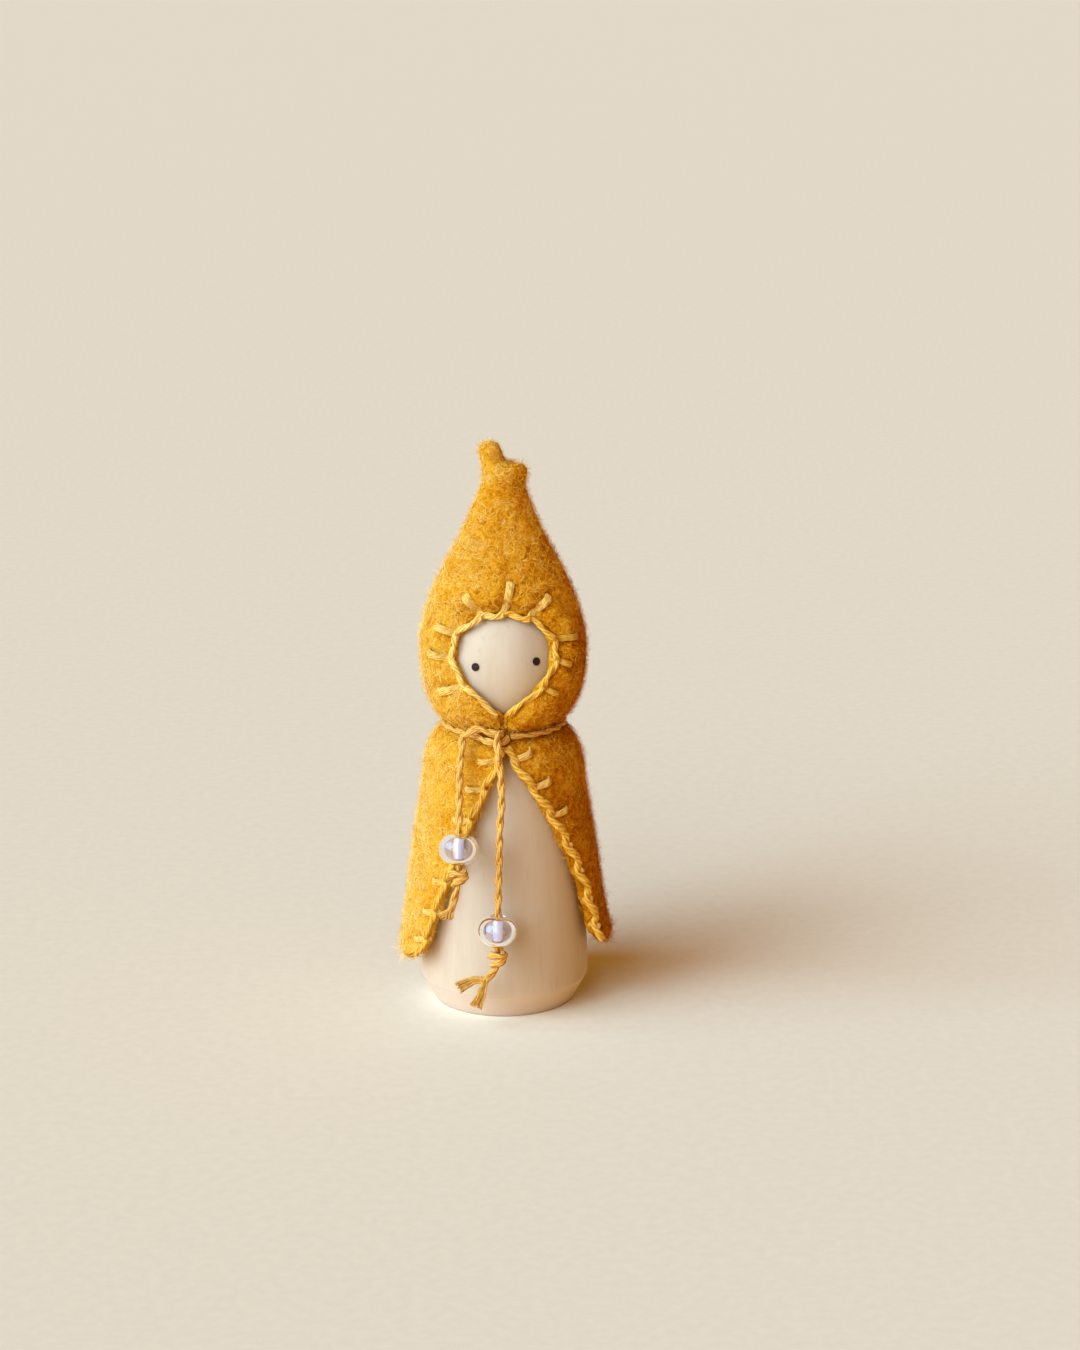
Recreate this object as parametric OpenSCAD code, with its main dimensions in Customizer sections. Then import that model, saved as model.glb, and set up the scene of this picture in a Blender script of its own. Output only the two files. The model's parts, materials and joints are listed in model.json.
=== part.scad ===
// Peg doll: a turned wooden peg with two painted eyes, in a felt hooded cape
// that is edged with blanket stitch and tied at the neck with a beaded cord.
// Millimetres, Z up, the face looks along -Y, origin at the centre of the foot.

/* [Peg] */
// Largest diameter of the turned body
base_d = 22; // [18:0.5:28]
// Diameter of the flat foot
foot_d = 18.4; // [14:0.2:20]
// Height of the bevel round the foot
foot_h = 3.4; // [1:0.2:5]
// Diameter of the body at the shoulder
shoulder_d = 17.2; // [15:0.2:20]
// Height of the tapering body, from the bevel to the shoulder
body_h = 27.6; // [24:0.2:32]
// Height of the rounding of the shoulder
shoulder_rise = 5; // [3:0.25:7]
// Diameter of the neck
neck_d = 11; // [8:0.2:13]
// Length of the neck between the shoulder and the head
neck_len = 3; // [2:0.1:5]
// Diameter of the round head
head_d = 17; // [15:0.2:19]

/* [Eyes] */
// Diameter of a painted eye
eye_d = 1.05; // [0.6:0.05:2]
// Angle of each eye from the middle of the face
eye_angle = 27.5; // [15:0.5:32]
// Height of the eyes above the centre of the head
eye_rise = 1.5; // [0:0.1:3]
// Turn of the face towards the right
face_turn = 2.5; // [-5:0.5:5]
// How far the right eye sits above, and the left eye below, that height
eye_tilt = 0.3; // [-0.6:0.1:0.6]
// Thickness of the paint
paint_t = 0.1; // [0.05:0.01:0.2]

/* [Felt] */
// Thickness of the felt
felt_t = 1.5; // [1:0.1:2]
// Clearance between the felt and the neck
neck_fit = 0.2; // [0.1:0.05:0.4]
// Slack between the felt and the head
head_ease = 0.8; // [0.4:0.1:2]
// Slack between the felt and the shoulder
shoulder_ease = 0.4; // [0.3:0.1:1]
// Slack between the hem and the widest part of the body
hem_ease = 1; // [0.5:0.1:3]

/* [Hood] */
// Height of the hood's peak above the top of the head
peak_rise = 20.3; // [14:0.5:28]
// Diameter of the blunt peak
peak_d = 5.8; // [4:0.2:7]
// Length of the blunt peak with its nub
peak_len = 5.8; // [4:0.2:8]
// Height of the hood's widest ring above the centre of the head
hood_wide_rise = 1.9; // [0:0.1:3]
// Half angle of the face opening at its widest
opening_angle = 38; // [24:1:42]
// Height of the opening's top above the centre of the head
opening_rise = 7.5; // [6:0.1:8]
// Height of the opening's widest place above the centre of the head
opening_wide_rise = 3; // [2:0.1:4]
// Depth of the opening's lower point below the centre of the head
opening_drop = 5.2; // [3.5:0.1:5.5]
// How far the hood's front is pressed back over the brow
brow_press = 3.4; // [0:0.1:3.6]
// Height above the centre of the head where that press begins
brow_low_rise = 2; // [1.5:0.1:3]
// Height above the centre of the head where it is deepest
brow_high_rise = 9; // [8.5:0.1:11]
// Width of the slit where the two felt edges meet below the chin
slit_w = 0.3; // [0.2:0.05:0.8]

/* [Cape] */
// Height of the hem above the floor
hem_h = 8; // [5:0.5:12]
// How far the hem rises on the right and drops on the left
hem_tilt = 1.2; // [0:0.1:2]
// Angle of the right front edge at the hem
right_edge_angle = 66; // [45:1:80]
// Angle of the left front edge at the hem
left_edge_angle = 55; // [45:1:80]
// Height of the rounding at the hem's front corners
corner_h = 1.6; // [0.5:0.1:3]

/* [Stitching] */
// Width of the flat strand of embroidery floss
floss_w = 0.9; // [0.6:0.05:1.1]
// Thickness of the strand of floss
floss_t = 0.45; // [0.3:0.05:0.6]
// Length of a stitch bar on the hood
hood_bar_len = 3.6; // [2:0.1:4]
// Length of a stitch bar on the cape
cape_bar_len = 3; // [2:0.1:4]
// Gap between the floss and the felt
floss_gap = 0.1; // [0.05:0.01:0.2]

/* [Cord] */
// Thickness of the twisted cord
cord_d = 1.2; // [0.8:0.05:1.4]
// Gap between the cord and the felt at the neck
cord_gap = 0.1; // [0.05:0.01:0.2]
// Width of the knot at the neck
neck_knot_w = 3.4; // [2.6:0.1:3.8]
// Width of the knot under each bead
end_knot_w = 2.8; // [2:0.1:3.2]

/* [Beads] */
// Outer diameter of a glass bead
bead_d = 5.1; // [4:0.1:5.4]
// Height of a glass bead
bead_h = 4.2; // [3:0.1:5]
// Clearance between the cord and the bead's bore, on the radius
bead_play = 0.05; // [0.02:0.01:0.1]

/* [Hidden] */
$fn = 64;

// Colours
wood_colour = "#e8d9bd";
paint_colour = "#3a2a24";
felt_colour = "#d99a22";
floss_colour = "#f0cf68";
cord_colour = "#c9944e";
glass_colour = "#dcdbe8";

// The peg's radii and heights
base_r = base_d / 2;
foot_r = foot_d / 2;
shoulder_r = shoulder_d / 2;
neck_r = neck_d / 2;
head_r = head_d / 2;
shoulder_h = foot_h + body_h;
neck_h = shoulder_h + shoulder_rise;
neck_top_z = neck_h + neck_len;
neck_mid_z = (neck_h + neck_top_z) / 2;
head_z = neck_top_z + sqrt(head_r * head_r - neck_r * neck_r);
peg_h = head_z + head_r;
// Power of the body's taper: slow at the foot, faster at the shoulder
taper_share = 1.6;
body_steps = 30;
shoulder_steps = 12;

// The groove in the felt that holds the cord at the neck
cord_r = cord_d / 2;
groove_r = neck_r + neck_fit + felt_t;
groove_half = cord_r + cord_gap;
groove_top_z = neck_mid_z + groove_half;
groove_low_z = neck_mid_z - groove_half;

// The hood's radii and heights
hood_r = head_r + head_ease + felt_t;
hood_wide_z = head_z + hood_wide_rise;
hood_tip_z = peg_h + peak_rise;
peak_r = peak_d / 2;
peak_z = hood_tip_z - peak_len;
opening_top_z = head_z + opening_rise;
opening_wide_z = head_z + opening_wide_rise;
opening_low_z = head_z - opening_drop;
brow_low_z = head_z + brow_low_rise;
brow_high_z = head_z + brow_high_rise;
// How sharply the opening runs to a point below the chin
opening_point_share = 1.6;
// The blunt peak and its nub: height, radius and sideways shift of each ring
peak_shares = [[0.31, 0.98, 0.07], [0.48, 0.9, 0.05], [0.59, 0.67, -0.24],
    [0.69, 0.48, -0.46], [0.86, 0.46, -0.52], [0.95, 0.3, -0.52]];
// Sideways shift of the peak's tip
tip_shift_share = -0.52;

// The cape's radii
cape_top_r = shoulder_r + shoulder_ease + felt_t;
hem_r = base_r + hem_ease + felt_t;
// How far each front edge bows away from a straight run
right_bow_share = 0.22;
left_bow_share = 0.1;
// Width of the rounding at the hem's front corners, in degrees of turn
corner_turn = 14;

// Mesh counts of the felt
felt_cols = 27;
slit_steps = 2;
opening_low_steps = 5;
opening_top_steps = 6;
cone_steps = 5;
// Power that crowds the cone's rings above the face opening
cone_crowd_share = 1.4;
cone_hollow_steps = 3;
cape_shoulder_steps = 4;
cape_fall_steps = 7;

// The floss
floss_r = floss_w / 2;
floss_flat = floss_t / floss_w;
floss_sides = 6;
floss_lift = floss_t / 2 + floss_gap;
floss_clear = floss_r + floss_gap;
bar_steps = 3;
// Places of the stitch bars up one side of the face opening: -1 at its point,
// 0 at its widest and 1 at its top
hood_bar_shares = [-0.5, -0.16, 0.16, 0.62];
// Where the edge strand of the hood starts, on the same scale
hood_strand_share = -0.8;
hood_strand_steps = 13;
// Places of the stitch bars down one front edge of the cape
cape_bar_shares = [0.07, 0.2, 0.34, 0.49, 0.63, 0.77, 0.9];
// Where the edge strand of the cape starts and stops
cape_strand_start_share = 0.08;
cape_strand_end_share = 0.96;
cape_strand_steps = 16;
// Step along an edge that gives its direction
edge_step_share = 0.01;
// Steps of turn and height that give the direction of the hood's face
face_turn_step = 0.5;
face_z_step = felt_t / 10;

// The cord round the neck and its knot
neck_cord_r = groove_r + cord_gap + cord_r;
knot_angle = -10;
knot_gap_turn = 16;
knot_rings = 42;
knot_sides = 6;
// A trefoil's ring and lobe radii and its strand's radius, as shares of its width
knot_ring_share = 0.256;
knot_lobe_share = 0.128;
knot_strand_share = 0.112;
neck_knot_out = neck_cord_r + cord_r + cord_gap + neck_knot_w * (knot_lobe_share + knot_strand_share);

// The routes of the two hanging tails, from the neck down, and of their frayed ends
left_route = [[-5.2, -8.4, 37.6], [-5.4, -9.8, 35.7], [-5.6, -11, 33.5]];
left_straight_end = [-5.8, -14.5, 22.4];
left_fray_a = [[-6.2, -15.1, 19.2], [-6.6, -15, 18.2], [-7.4, -14.8, 16.9], [-8.4, -14.4, 15.5]];
left_fray_b = [[-5.3, -15.6, 19], [-5.6, -15.8, 17.9], [-6.2, -15.9, 16.7], [-7, -15.9, 15.6]];
right_route = [[-0.6, -10.9, 35.2], [-0.4, -11.2, 33], [-0.3, -11.5, 30.4], [-0.4, -11.8, 28],
    [-0.6, -12.1, 25.5]];
right_straight_end = [-0.9, -13.8, 11.2];
right_fray_a = [[-1.4, -13.9, 7.9], [-2.4, -13.9, 7.4], [-4, -13.8, 6.7], [-6.2, -13.6, 5.5]];
right_fray_b = [[-1.6, -14.9, 7.7], [-2.4, -15, 6.7], [-3, -15, 5.2], [-3.8, -15, 3.4]];
// Radii along a frayed end, as shares of the cord's
fray_shares = [0.55, 0.6, 0.8, 1.2];
tail_sides = 8;
// The swept upper stretch is a little thinner, so that it ends inside the straight one
tail_inset_share = 0.95;

// Unit vector, and the point a share of the way between two others
function unit(v) = v / norm(v);
function between(a, b, s) = a + (b - a) * s;
// A point at a radius, a turn from the front towards +X, and a height
function around(r, turn, z) = [r * sin(turn), -r * cos(turn), z];
function outward(turn) = [sin(turn), -cos(turn), 0];

// Radius of the peg's body at a share of its height from the bevel to the shoulder
function body_r(s) = base_r - (base_r - shoulder_r) * pow(s, taper_share);

// Radius of the hood's outer face at a height
function hood_flare(z) =
    let (s = (hood_wide_z - z) / (hood_wide_z - groove_top_z))
    groove_r + (hood_r - groove_r) * sqrt(max(0, 1 - s * s));
function hood_cone(z) =
    let (c = cos(90 * (z - hood_wide_z) / (peak_z - hood_wide_z)))
    peak_r + (hood_r - peak_r) * c * (1 + c) / 2;
function hood_out(z) = z <= groove_top_z ? groove_r : z <= hood_wide_z ? hood_flare(z) : hood_cone(z);

// How far the hood's front is pressed back at a height: from above the eyes to the
// peak, deepest over the brow
function brow_rise(t) = t * t * (3 - 2 * t);
function brow_in(z) =
    z <= brow_low_z || z >= peak_z ? 0
    : z <= brow_high_z ? brow_press * brow_rise((z - brow_low_z) / (brow_high_z - brow_low_z))
    : brow_press * cos(90 * (z - brow_high_z) / (peak_z - brow_high_z));
// A point of the hood's face at a turn and a height, and the direction out of the felt there
function hood_face(turn, z, inset) =
    let (r = hood_out(z) - inset, depth = r - (cos(turn) > 0 ? brow_in(z) : 0))
    [r * sin(turn), -depth * cos(turn), z];
function hood_normal(turn, z) =
    unit(cross(
        hood_face(turn + face_turn_step, z, 0) - hood_face(turn - face_turn_step, z, 0),
        hood_face(turn, z + face_z_step, 0) - hood_face(turn, z - face_z_step, 0)));

// Half angle of the face opening at a height, and of the slit below it
function slit_angle(z) = asin(slit_w / 2 / hood_out(z));
function opening_low(z) =
    let (t = (opening_wide_z - z) / (opening_wide_z - opening_low_z))
    max(slit_angle(z), opening_angle * (1 - pow(t, opening_point_share)));
function opening_up(z) =
    let (t = (z - opening_wide_z) / (opening_top_z - opening_wide_z))
    opening_angle * sqrt(max(0, 1 - t * t));
function opening_at(z) =
    z <= opening_low_z ? slit_angle(z) : z <= opening_wide_z ? opening_low(z) : opening_up(z);
// Height on the opening's outline: -1 at its point, 0 at its widest, 1 at its top
function opening_z(w) =
    w < 0 ? opening_wide_z + w * (opening_wide_z - opening_low_z)
    : opening_wide_z + sin(90 * w) * (opening_top_z - opening_wide_z);

// Heights of the hood's rings, from the neck up, below the blunt peak
hood_low_zs = [neck_mid_z, for (k = [0:slit_steps - 1])
    between(groove_top_z, opening_low_z, k / slit_steps)];
hood_opening_zs = [for (k = [0:opening_low_steps]) opening_z(k / opening_low_steps - 1),
    for (k = [1:opening_top_steps]) opening_z(k / opening_top_steps)];
hood_cone_zs = [for (k = [1:cone_steps])
    between(opening_top_z, peak_z, pow(k / cone_steps, cone_crowd_share))];
hood_open_zs = concat(hood_low_zs, hood_opening_zs);
hood_zs = concat(hood_open_zs, hood_cone_zs);

// Turn of a felt column: from the right edge, round the back, to the left edge
function col_turn(right, left, i) = between(right, 360 - left, i / felt_cols);
function hood_ring(z, inset) =
    let (half = opening_at(z) * (z <= opening_top_z ? 1 : 0))
    [for (i = [0:felt_cols]) hood_face(col_turn(half, half, i), z, inset)];
function peak_ring(share) =
    [for (i = [0:felt_cols])
        around(peak_r * share[1], col_turn(0, 0, i), peak_z + peak_len * share[0])
        + [peak_r * share[2], 0, 0]];

// Height and radius of the cape's outer face at a share of the fall below the groove
function hem_z(turn) = hem_h + hem_tilt * sin(turn);
function cape_z(s, turn) = between(groove_low_z, hem_z(turn), s);
function cape_out(z) =
    let (s = (groove_low_z - z) / (groove_low_z - shoulder_h))
    z >= groove_low_z ? groove_r
    : z >= shoulder_h ? groove_r + (cape_top_r - groove_r) * sqrt(1 - (1 - s) * (1 - s))
    : between(cape_top_r, hem_r, (shoulder_h - z) / (shoulder_h - hem_h));

// Turn of the cape's front edges away from the middle, at a share of the fall
function edge_turn(s, angle, bow) =
    max(asin(slit_w / 2 / groove_r), angle * (s + bow * sin(180 * s)));
function right_turn(s) = edge_turn(s, right_edge_angle, right_bow_share);
function left_turn(s) = edge_turn(s, left_edge_angle, left_bow_share);

// Shares of the fall for the cape's rings, close together over the shoulder
shoulder_share = (groove_low_z - shoulder_h) / (groove_low_z - hem_h);
cape_shares = [for (k = [0:cape_shoulder_steps])
        shoulder_share * (1 - cos(90 * k / cape_shoulder_steps)),
    for (k = [1:cape_fall_steps]) between(shoulder_share, 1, k / cape_fall_steps)];

// Lift of the hem at its front corners, which are cut round
function corner_lift(s, i) =
    let (right = right_turn(1), left = left_turn(1))
    let (turn = col_turn(right, left, i))
    let (near = min(turn - right, 360 - left - turn))
    corner_h * pow(max(0, 1 - near / corner_turn), 2) * max(0, 2 * s - 1);
function cape_point(s, i, inset) =
    let (turn = col_turn(right_turn(s), left_turn(s), i))
    let (z = cape_z(s, turn) + corner_lift(s, i))
    around(cape_out(z) - inset, turn, z);
function cape_ring(s, inset) = [for (i = [0:felt_cols]) cape_point(s, i, inset)];
function cape_top_ring(inset) =
    [for (i = [0:felt_cols])
        around(groove_r - inset, col_turn(right_turn(0), left_turn(0), i), neck_mid_z)];

// A felt shell between an outer and an inner stack of rings, open at the front
// from the lowest ring to ring number joined, where the two front edges meet
module felt_shell(outer, inner, joined, tips) {
    cols = felt_cols;
    outs = len(outer);
    ins = len(inner);
    start = outs * (cols + 1);
    closed = len(tips) > 0;
    points = concat([for (ring = outer) each ring], [for (ring = inner) each ring], tips);
    tip = start + ins * (cols + 1);
    function o(j, i) = j * (cols + 1) + (j >= joined && i == cols ? 0 : i);
    function n(j, i) = start + j * (cols + 1) + (j >= joined && i == cols ? 0 : i);
    faces = [
        for (j = [0:outs - 2]) for (i = [0:cols - 1])
            each [[o(j, i), o(j + 1, i), o(j + 1, i + 1)], [o(j, i), o(j + 1, i + 1), o(j, i + 1)]],
        for (j = [0:ins - 2]) for (i = [0:cols - 1])
            each [[n(j, i), n(j, i + 1), n(j + 1, i + 1)], [n(j, i), n(j + 1, i + 1), n(j + 1, i)]],
        for (i = [0:cols - 1])
            each [[o(0, i), o(0, i + 1), n(0, i + 1)], [o(0, i), n(0, i + 1), n(0, i)]],
        for (j = [0:min(joined, ins - 1) - 1])
            each [[o(j, 0), n(j, 0), n(j + 1, 0)], [o(j, 0), n(j + 1, 0), o(j + 1, 0)],
                [o(j, cols), o(j + 1, cols), n(j + 1, cols)], [o(j, cols), n(j + 1, cols), n(j, cols)]],
        if (closed) for (i = [0:cols - 1])
            each [[o(outs - 1, i), tip, o(outs - 1, i + 1)], [n(ins - 1, i), n(ins - 1, i + 1), tip + 1]],
        if (!closed) for (i = [0:cols - 1])
            each [[o(outs - 1, i), n(ins - 1, i), n(ins - 1, i + 1)],
                [o(outs - 1, i), n(ins - 1, i + 1), o(outs - 1, i + 1)]]
    ];
    polyhedron(points, faces, convexity = 6);
}

// A tube along a path, with an upward direction and a half width at each of its points,
// and its height as a share of its width
module tube(path, ups, radii, sides, ring = false, flat = 1) {
    last = len(path) - 1;
    function tangent(j) =
        ring ? unit(path[(j + 1) % (last + 1)] - path[(j + last) % (last + 1)])
        : unit(path[min(j + 1, last)] - path[max(j - 1, 0)]);
    function ring_points(j) =
        let (t = tangent(j), a = unit(cross(ups[j], t)), b = flat * cross(t, a))
        [for (k = [0:sides - 1])
            let (turn = 360 * k / sides)
            path[j] + radii[j] * (cos(turn) * a + sin(turn) * b)];
    function p(j, k) = (j % (last + 1)) * sides + k % sides;
    faces = [
        for (j = [0:ring ? last : last - 1]) for (k = [0:sides - 1])
            each [[p(j, k), p(j + 1, k), p(j + 1, k + 1)], [p(j, k), p(j + 1, k + 1), p(j, k + 1)]],
        if (!ring) each [[for (k = [0:sides - 1]) k], [for (k = [sides - 1:-1:0]) last * sides + k]]
    ];
    polyhedron([for (j = [0:last]) each ring_points(j)], faces, convexity = 6);
}

// A tight trefoil of cord, its face along the local Z axis
module knot(width) {
    turns = [for (k = [0:knot_rings - 1]) 360 * k / knot_rings];
    path = [for (t = turns)
        let (r = width * (knot_ring_share + knot_lobe_share * cos(3 * t)))
        [r * cos(2 * t), r * sin(2 * t), width * knot_lobe_share * sin(3 * t)]];
    tube(path, [for (t = turns) [0, 0, 1]], [for (t = turns) width * knot_strand_share], knot_sides, true);
}

// A straight round rod between two points
module rod(a, b, d) {
    v = b - a;
    translate(a)
        rotate([0, acos(v[2] / norm(v)), atan2(v[1], v[0])])
            cylinder(d = d, h = norm(v));
}

// Body of the peg up to the neck, half of its outline
body_outline = concat(
    [[0, 0], [foot_r, 0]],
    [for (k = [0:body_steps]) [body_r(k / body_steps), between(foot_h, shoulder_h, k / body_steps)]],
    [for (k = [1:shoulder_steps])
        let (a = 90 * k / shoulder_steps)
        [neck_r + (shoulder_r - neck_r) * cos(a), shoulder_h + (neck_h - shoulder_h) * sin(a)]],
    [[neck_r, neck_top_z], [0, neck_top_z]]
);

module peg_body() {
    color(wood_colour) {
        rotate_extrude()
            polygon(body_outline);
        translate([0, 0, head_z])
            sphere(r = head_r);
    }
}

// A dot of paint on the head, at a turn from the front and a height above the head's centre
module eye(turn, rise) {
    reach = head_r + paint_t;
    color(paint_colour)
        translate([0, 0, head_z])
            intersection() {
                difference() {
                    sphere(r = reach);
                    sphere(r = head_r);
                }
                rotate([90 - asin(rise / head_r), 0, turn])
                    cylinder(d = eye_d, h = reach + paint_t);
            }
}

module left_eye() {
    eye(face_turn - eye_angle, eye_rise - eye_tilt);
}

module right_eye() {
    eye(face_turn + eye_angle, eye_rise + eye_tilt);
}

module hood() {
    hollow = [for (k = [0:len(hood_open_zs) + cone_hollow_steps - 1]) hood_zs[k]];
    outer = concat([for (z = hood_zs) hood_ring(z, 0)], [for (s = peak_shares) peak_ring(s)]);
    inner = [for (z = hollow) hood_ring(z, felt_t)];
    tips = [[peak_r * tip_shift_share, 0, hood_tip_z], [0, 0, hood_zs[len(hollow)]]];
    color(felt_colour)
        felt_shell(outer, inner, len(hood_open_zs) - 1, tips);
}

module cape() {
    shares = [for (k = [len(cape_shares) - 1:-1:0]) cape_shares[k]];
    outer = concat([for (s = shares) cape_ring(s, 0)], [cape_top_ring(0)]);
    inner = concat([for (s = shares) cape_ring(s, felt_t)], [cape_top_ring(felt_t)]);
    color(felt_colour)
        felt_shell(outer, inner, len(outer), []);
}

// Arc length from the middle, and height, at a place on the opening's outline
function opening_place(w) =
    let (z = opening_z(w))
    [hood_out(z) * opening_at(z) * PI / 180, z];
// Direction along the felt, away from the opening's right edge, as arc length and height
function opening_side(w) =
    let (a = opening_place(w - edge_step_share), b = opening_place(min(w + edge_step_share, 1)))
    unit([b[1] - a[1], a[0] - b[0]]);
// Turn and height of a place on the opening's outline, moved along the felt away from the edge
function hood_spot(w, side, off) =
    let (place = opening_place(w) + off * opening_side(w))
    [side * place[0] / hood_out(place[1]) * 180 / PI, place[1]];
function hood_up(spot) = hood_normal(spot[0], spot[1]);
function on_hood(spot, lift) = hood_face(spot[0], spot[1], 0) + lift * hood_up(spot);

// A flat strand of floss along a path on the felt
module strand(path, ups) {
    tube(path, ups, [for (p = path) floss_r], floss_sides, flat = floss_flat);
}

module hood_bar(w, side) {
    spots = [for (k = [0:bar_steps]) hood_spot(w, side, hood_bar_len * k / bar_steps)];
    strand([for (spot = spots) on_hood(spot, floss_lift)], [for (spot = spots) hood_up(spot)]);
}

module hood_stitching() {
    places = [for (k = [0:hood_strand_steps]) between(hood_strand_share, 1, k / hood_strand_steps)];
    edge = concat(
        [for (w = places) hood_spot(w, 1, -floss_clear)],
        [for (k = [hood_strand_steps - 1:-1:0]) hood_spot(places[k], -1, -floss_clear)]
    );
    color(floss_colour) {
        strand([for (spot = edge) on_hood(spot, -floss_t / 2)], [for (spot = edge) hood_up(spot)]);
        for (w = hood_bar_shares) {
            hood_bar(w, 1);
            hood_bar(w, -1);
        }
        hood_bar(1, 1);
    }
}

// A point on the cape's right (side 1) or left (side -1) front edge
function front_turn(s, side) = side * (side > 0 ? right_turn(s) : left_turn(s));
function front_edge(s, side, lift) =
    let (turn = front_turn(s, side))
    let (z = cape_z(s, turn))
    around(cape_out(z) + lift, turn, z);
function front_run(s, side) =
    unit(front_edge(s + edge_step_share, side, 0) - front_edge(s - edge_step_share, side, 0));
// Direction along the felt, away from the edge
function front_side(s, side) = unit(side * cross(outward(front_turn(s, side)), front_run(s, side)));
// A point on the cape's face, away from the edge along the felt
function on_cape(p, lift) = around(cape_out(p[2]) + lift, atan2(p[0], -p[1]), p[2]);

module cape_bar(s, side) {
    path = [for (k = [0:bar_steps])
        on_cape(front_edge(s, side, 0) + front_side(s, side) * cape_bar_len * k / bar_steps, floss_lift)];
    strand(path, [for (p = path) outward(front_turn(s, side))]);
}

module cape_stitching(side) {
    places = [for (k = [0:cape_strand_steps])
        between(cape_strand_start_share, cape_strand_end_share, k / cape_strand_steps)];
    edge = [for (s = places) front_edge(s, side, -floss_t / 2) - front_side(s, side) * floss_clear];
    color(floss_colour) {
        strand(edge, [for (s = places) outward(front_turn(s, side))]);
        for (s = cape_bar_shares)
            cape_bar(s, side);
    }
}

module left_cape_stitching() {
    cape_stitching(-1);
}

module right_cape_stitching() {
    cape_stitching(1);
}

// The cord round the neck, open at the front where the knot sits
module neck_cord() {
    color(cord_colour)
        translate([0, 0, neck_mid_z])
            rotate([0, 0, knot_angle + knot_gap_turn - 90])
                rotate_extrude(angle = 360 - 2 * knot_gap_turn)
                    translate([neck_cord_r, 0])
                        circle(r = cord_r);
}

module neck_knot() {
    color(cord_colour)
        translate(around(neck_knot_out, knot_angle, neck_mid_z))
            rotate([90, 0, knot_angle])
                knot(neck_knot_w);
}

// A hanging tail: a swept stretch from the neck, then a straight one that carries the bead
module tail(route, end) {
    last = len(route) - 1;
    dip = unit(end - route[last]) * cord_r;
    path = concat(route, [route[last] + dip]);
    color(cord_colour) {
        tube(path, [for (p = path) [1, 0, 0]], [for (p = path) cord_r * tail_inset_share], tail_sides);
        rod(route[last], end, cord_d);
    }
}

// A glass bead on the straight stretch, resting on the knot at its end
module bead(from, end) {
    run = unit(from - end);
    round_r = bead_h / 2;
    centre = end + run * (round_r + cord_gap);
    color(glass_colour)
        translate(centre)
            rotate([0, acos(run[2]), atan2(run[1], run[0])])
                rotate_extrude()
                    difference() {
                        union() {
                            translate([bead_d / 2 - round_r, 0])
                                circle(r = round_r);
                            translate([0, -round_r])
                                square([bead_d / 2 - round_r, bead_h]);
                        }
                        translate([-bead_d, -bead_h])
                            square([bead_d + cord_r + bead_play, 2 * bead_h]);
                    }
}

// The knot at the end of a tail
module end_knot(from, end) {
    run = unit(end - from);
    color(cord_colour)
        translate(end + run * (end_knot_w / 2 + cord_gap))
            rotate([90, 0, 0])
                knot(end_knot_w);
}

// The frayed strands below a knot
module frayed_end(strands) {
    color(cord_colour)
        for (path = strands)
            tube(path, [for (p = path) [0, 1, 0]], [for (s = fray_shares) cord_r * s], tail_sides);
}

module left_tail_cord() {
    tail(left_route, left_straight_end);
}

module left_bead() {
    bead(left_route[len(left_route) - 1], left_straight_end);
}

module left_end_knot() {
    end_knot(left_route[len(left_route) - 1], left_straight_end);
}

module left_frayed_end() {
    frayed_end([left_fray_a, left_fray_b]);
}

module right_tail_cord() {
    tail(right_route, right_straight_end);
}

module right_bead() {
    bead(right_route[len(right_route) - 1], right_straight_end);
}

module right_end_knot() {
    end_knot(right_route[len(right_route) - 1], right_straight_end);
}

module right_frayed_end() {
    frayed_end([right_fray_a, right_fray_b]);
}

peg_body();
left_eye();
right_eye();
hood();
cape();
hood_stitching();
left_cape_stitching();
right_cape_stitching();
neck_cord();
neck_knot();
left_tail_cord();
left_bead();
left_end_knot();
left_frayed_end();
right_tail_cord();
right_bead();
right_end_knot();
right_frayed_end();
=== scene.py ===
"""Looks of a peg doll in a felt hooded cape: wood, felt, floss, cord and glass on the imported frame.

Shapes are worked out in millimetres in the frame's own axes, Z up and the face along -Y,
and become metres where a mesh is made. A turn is an angle from the front towards +X, in degrees.
"""

import json
import math

import bpy
import numpy as np
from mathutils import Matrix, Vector, noise


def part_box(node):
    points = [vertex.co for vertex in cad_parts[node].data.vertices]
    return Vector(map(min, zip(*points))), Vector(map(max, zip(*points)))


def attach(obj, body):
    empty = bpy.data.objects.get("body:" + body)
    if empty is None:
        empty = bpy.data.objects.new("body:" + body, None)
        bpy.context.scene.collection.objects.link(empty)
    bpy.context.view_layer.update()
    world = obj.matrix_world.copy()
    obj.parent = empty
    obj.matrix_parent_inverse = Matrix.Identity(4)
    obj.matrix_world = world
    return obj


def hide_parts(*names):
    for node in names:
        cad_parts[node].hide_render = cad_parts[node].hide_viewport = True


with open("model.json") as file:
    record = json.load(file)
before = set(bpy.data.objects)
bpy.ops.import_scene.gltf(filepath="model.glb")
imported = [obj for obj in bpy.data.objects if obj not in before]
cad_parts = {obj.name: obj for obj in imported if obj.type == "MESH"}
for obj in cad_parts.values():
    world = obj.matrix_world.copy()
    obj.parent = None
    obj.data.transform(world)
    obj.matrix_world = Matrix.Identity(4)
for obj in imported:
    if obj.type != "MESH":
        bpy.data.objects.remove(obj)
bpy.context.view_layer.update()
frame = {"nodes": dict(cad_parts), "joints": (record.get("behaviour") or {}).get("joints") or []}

MM = 0.001
SEED = 11
rng = np.random.default_rng(SEED)


def box_mm(node):
    """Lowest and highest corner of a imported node, in millimetres."""
    low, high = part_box(node)
    return np.array(low) / MM, np.array(high) / MM


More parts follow.
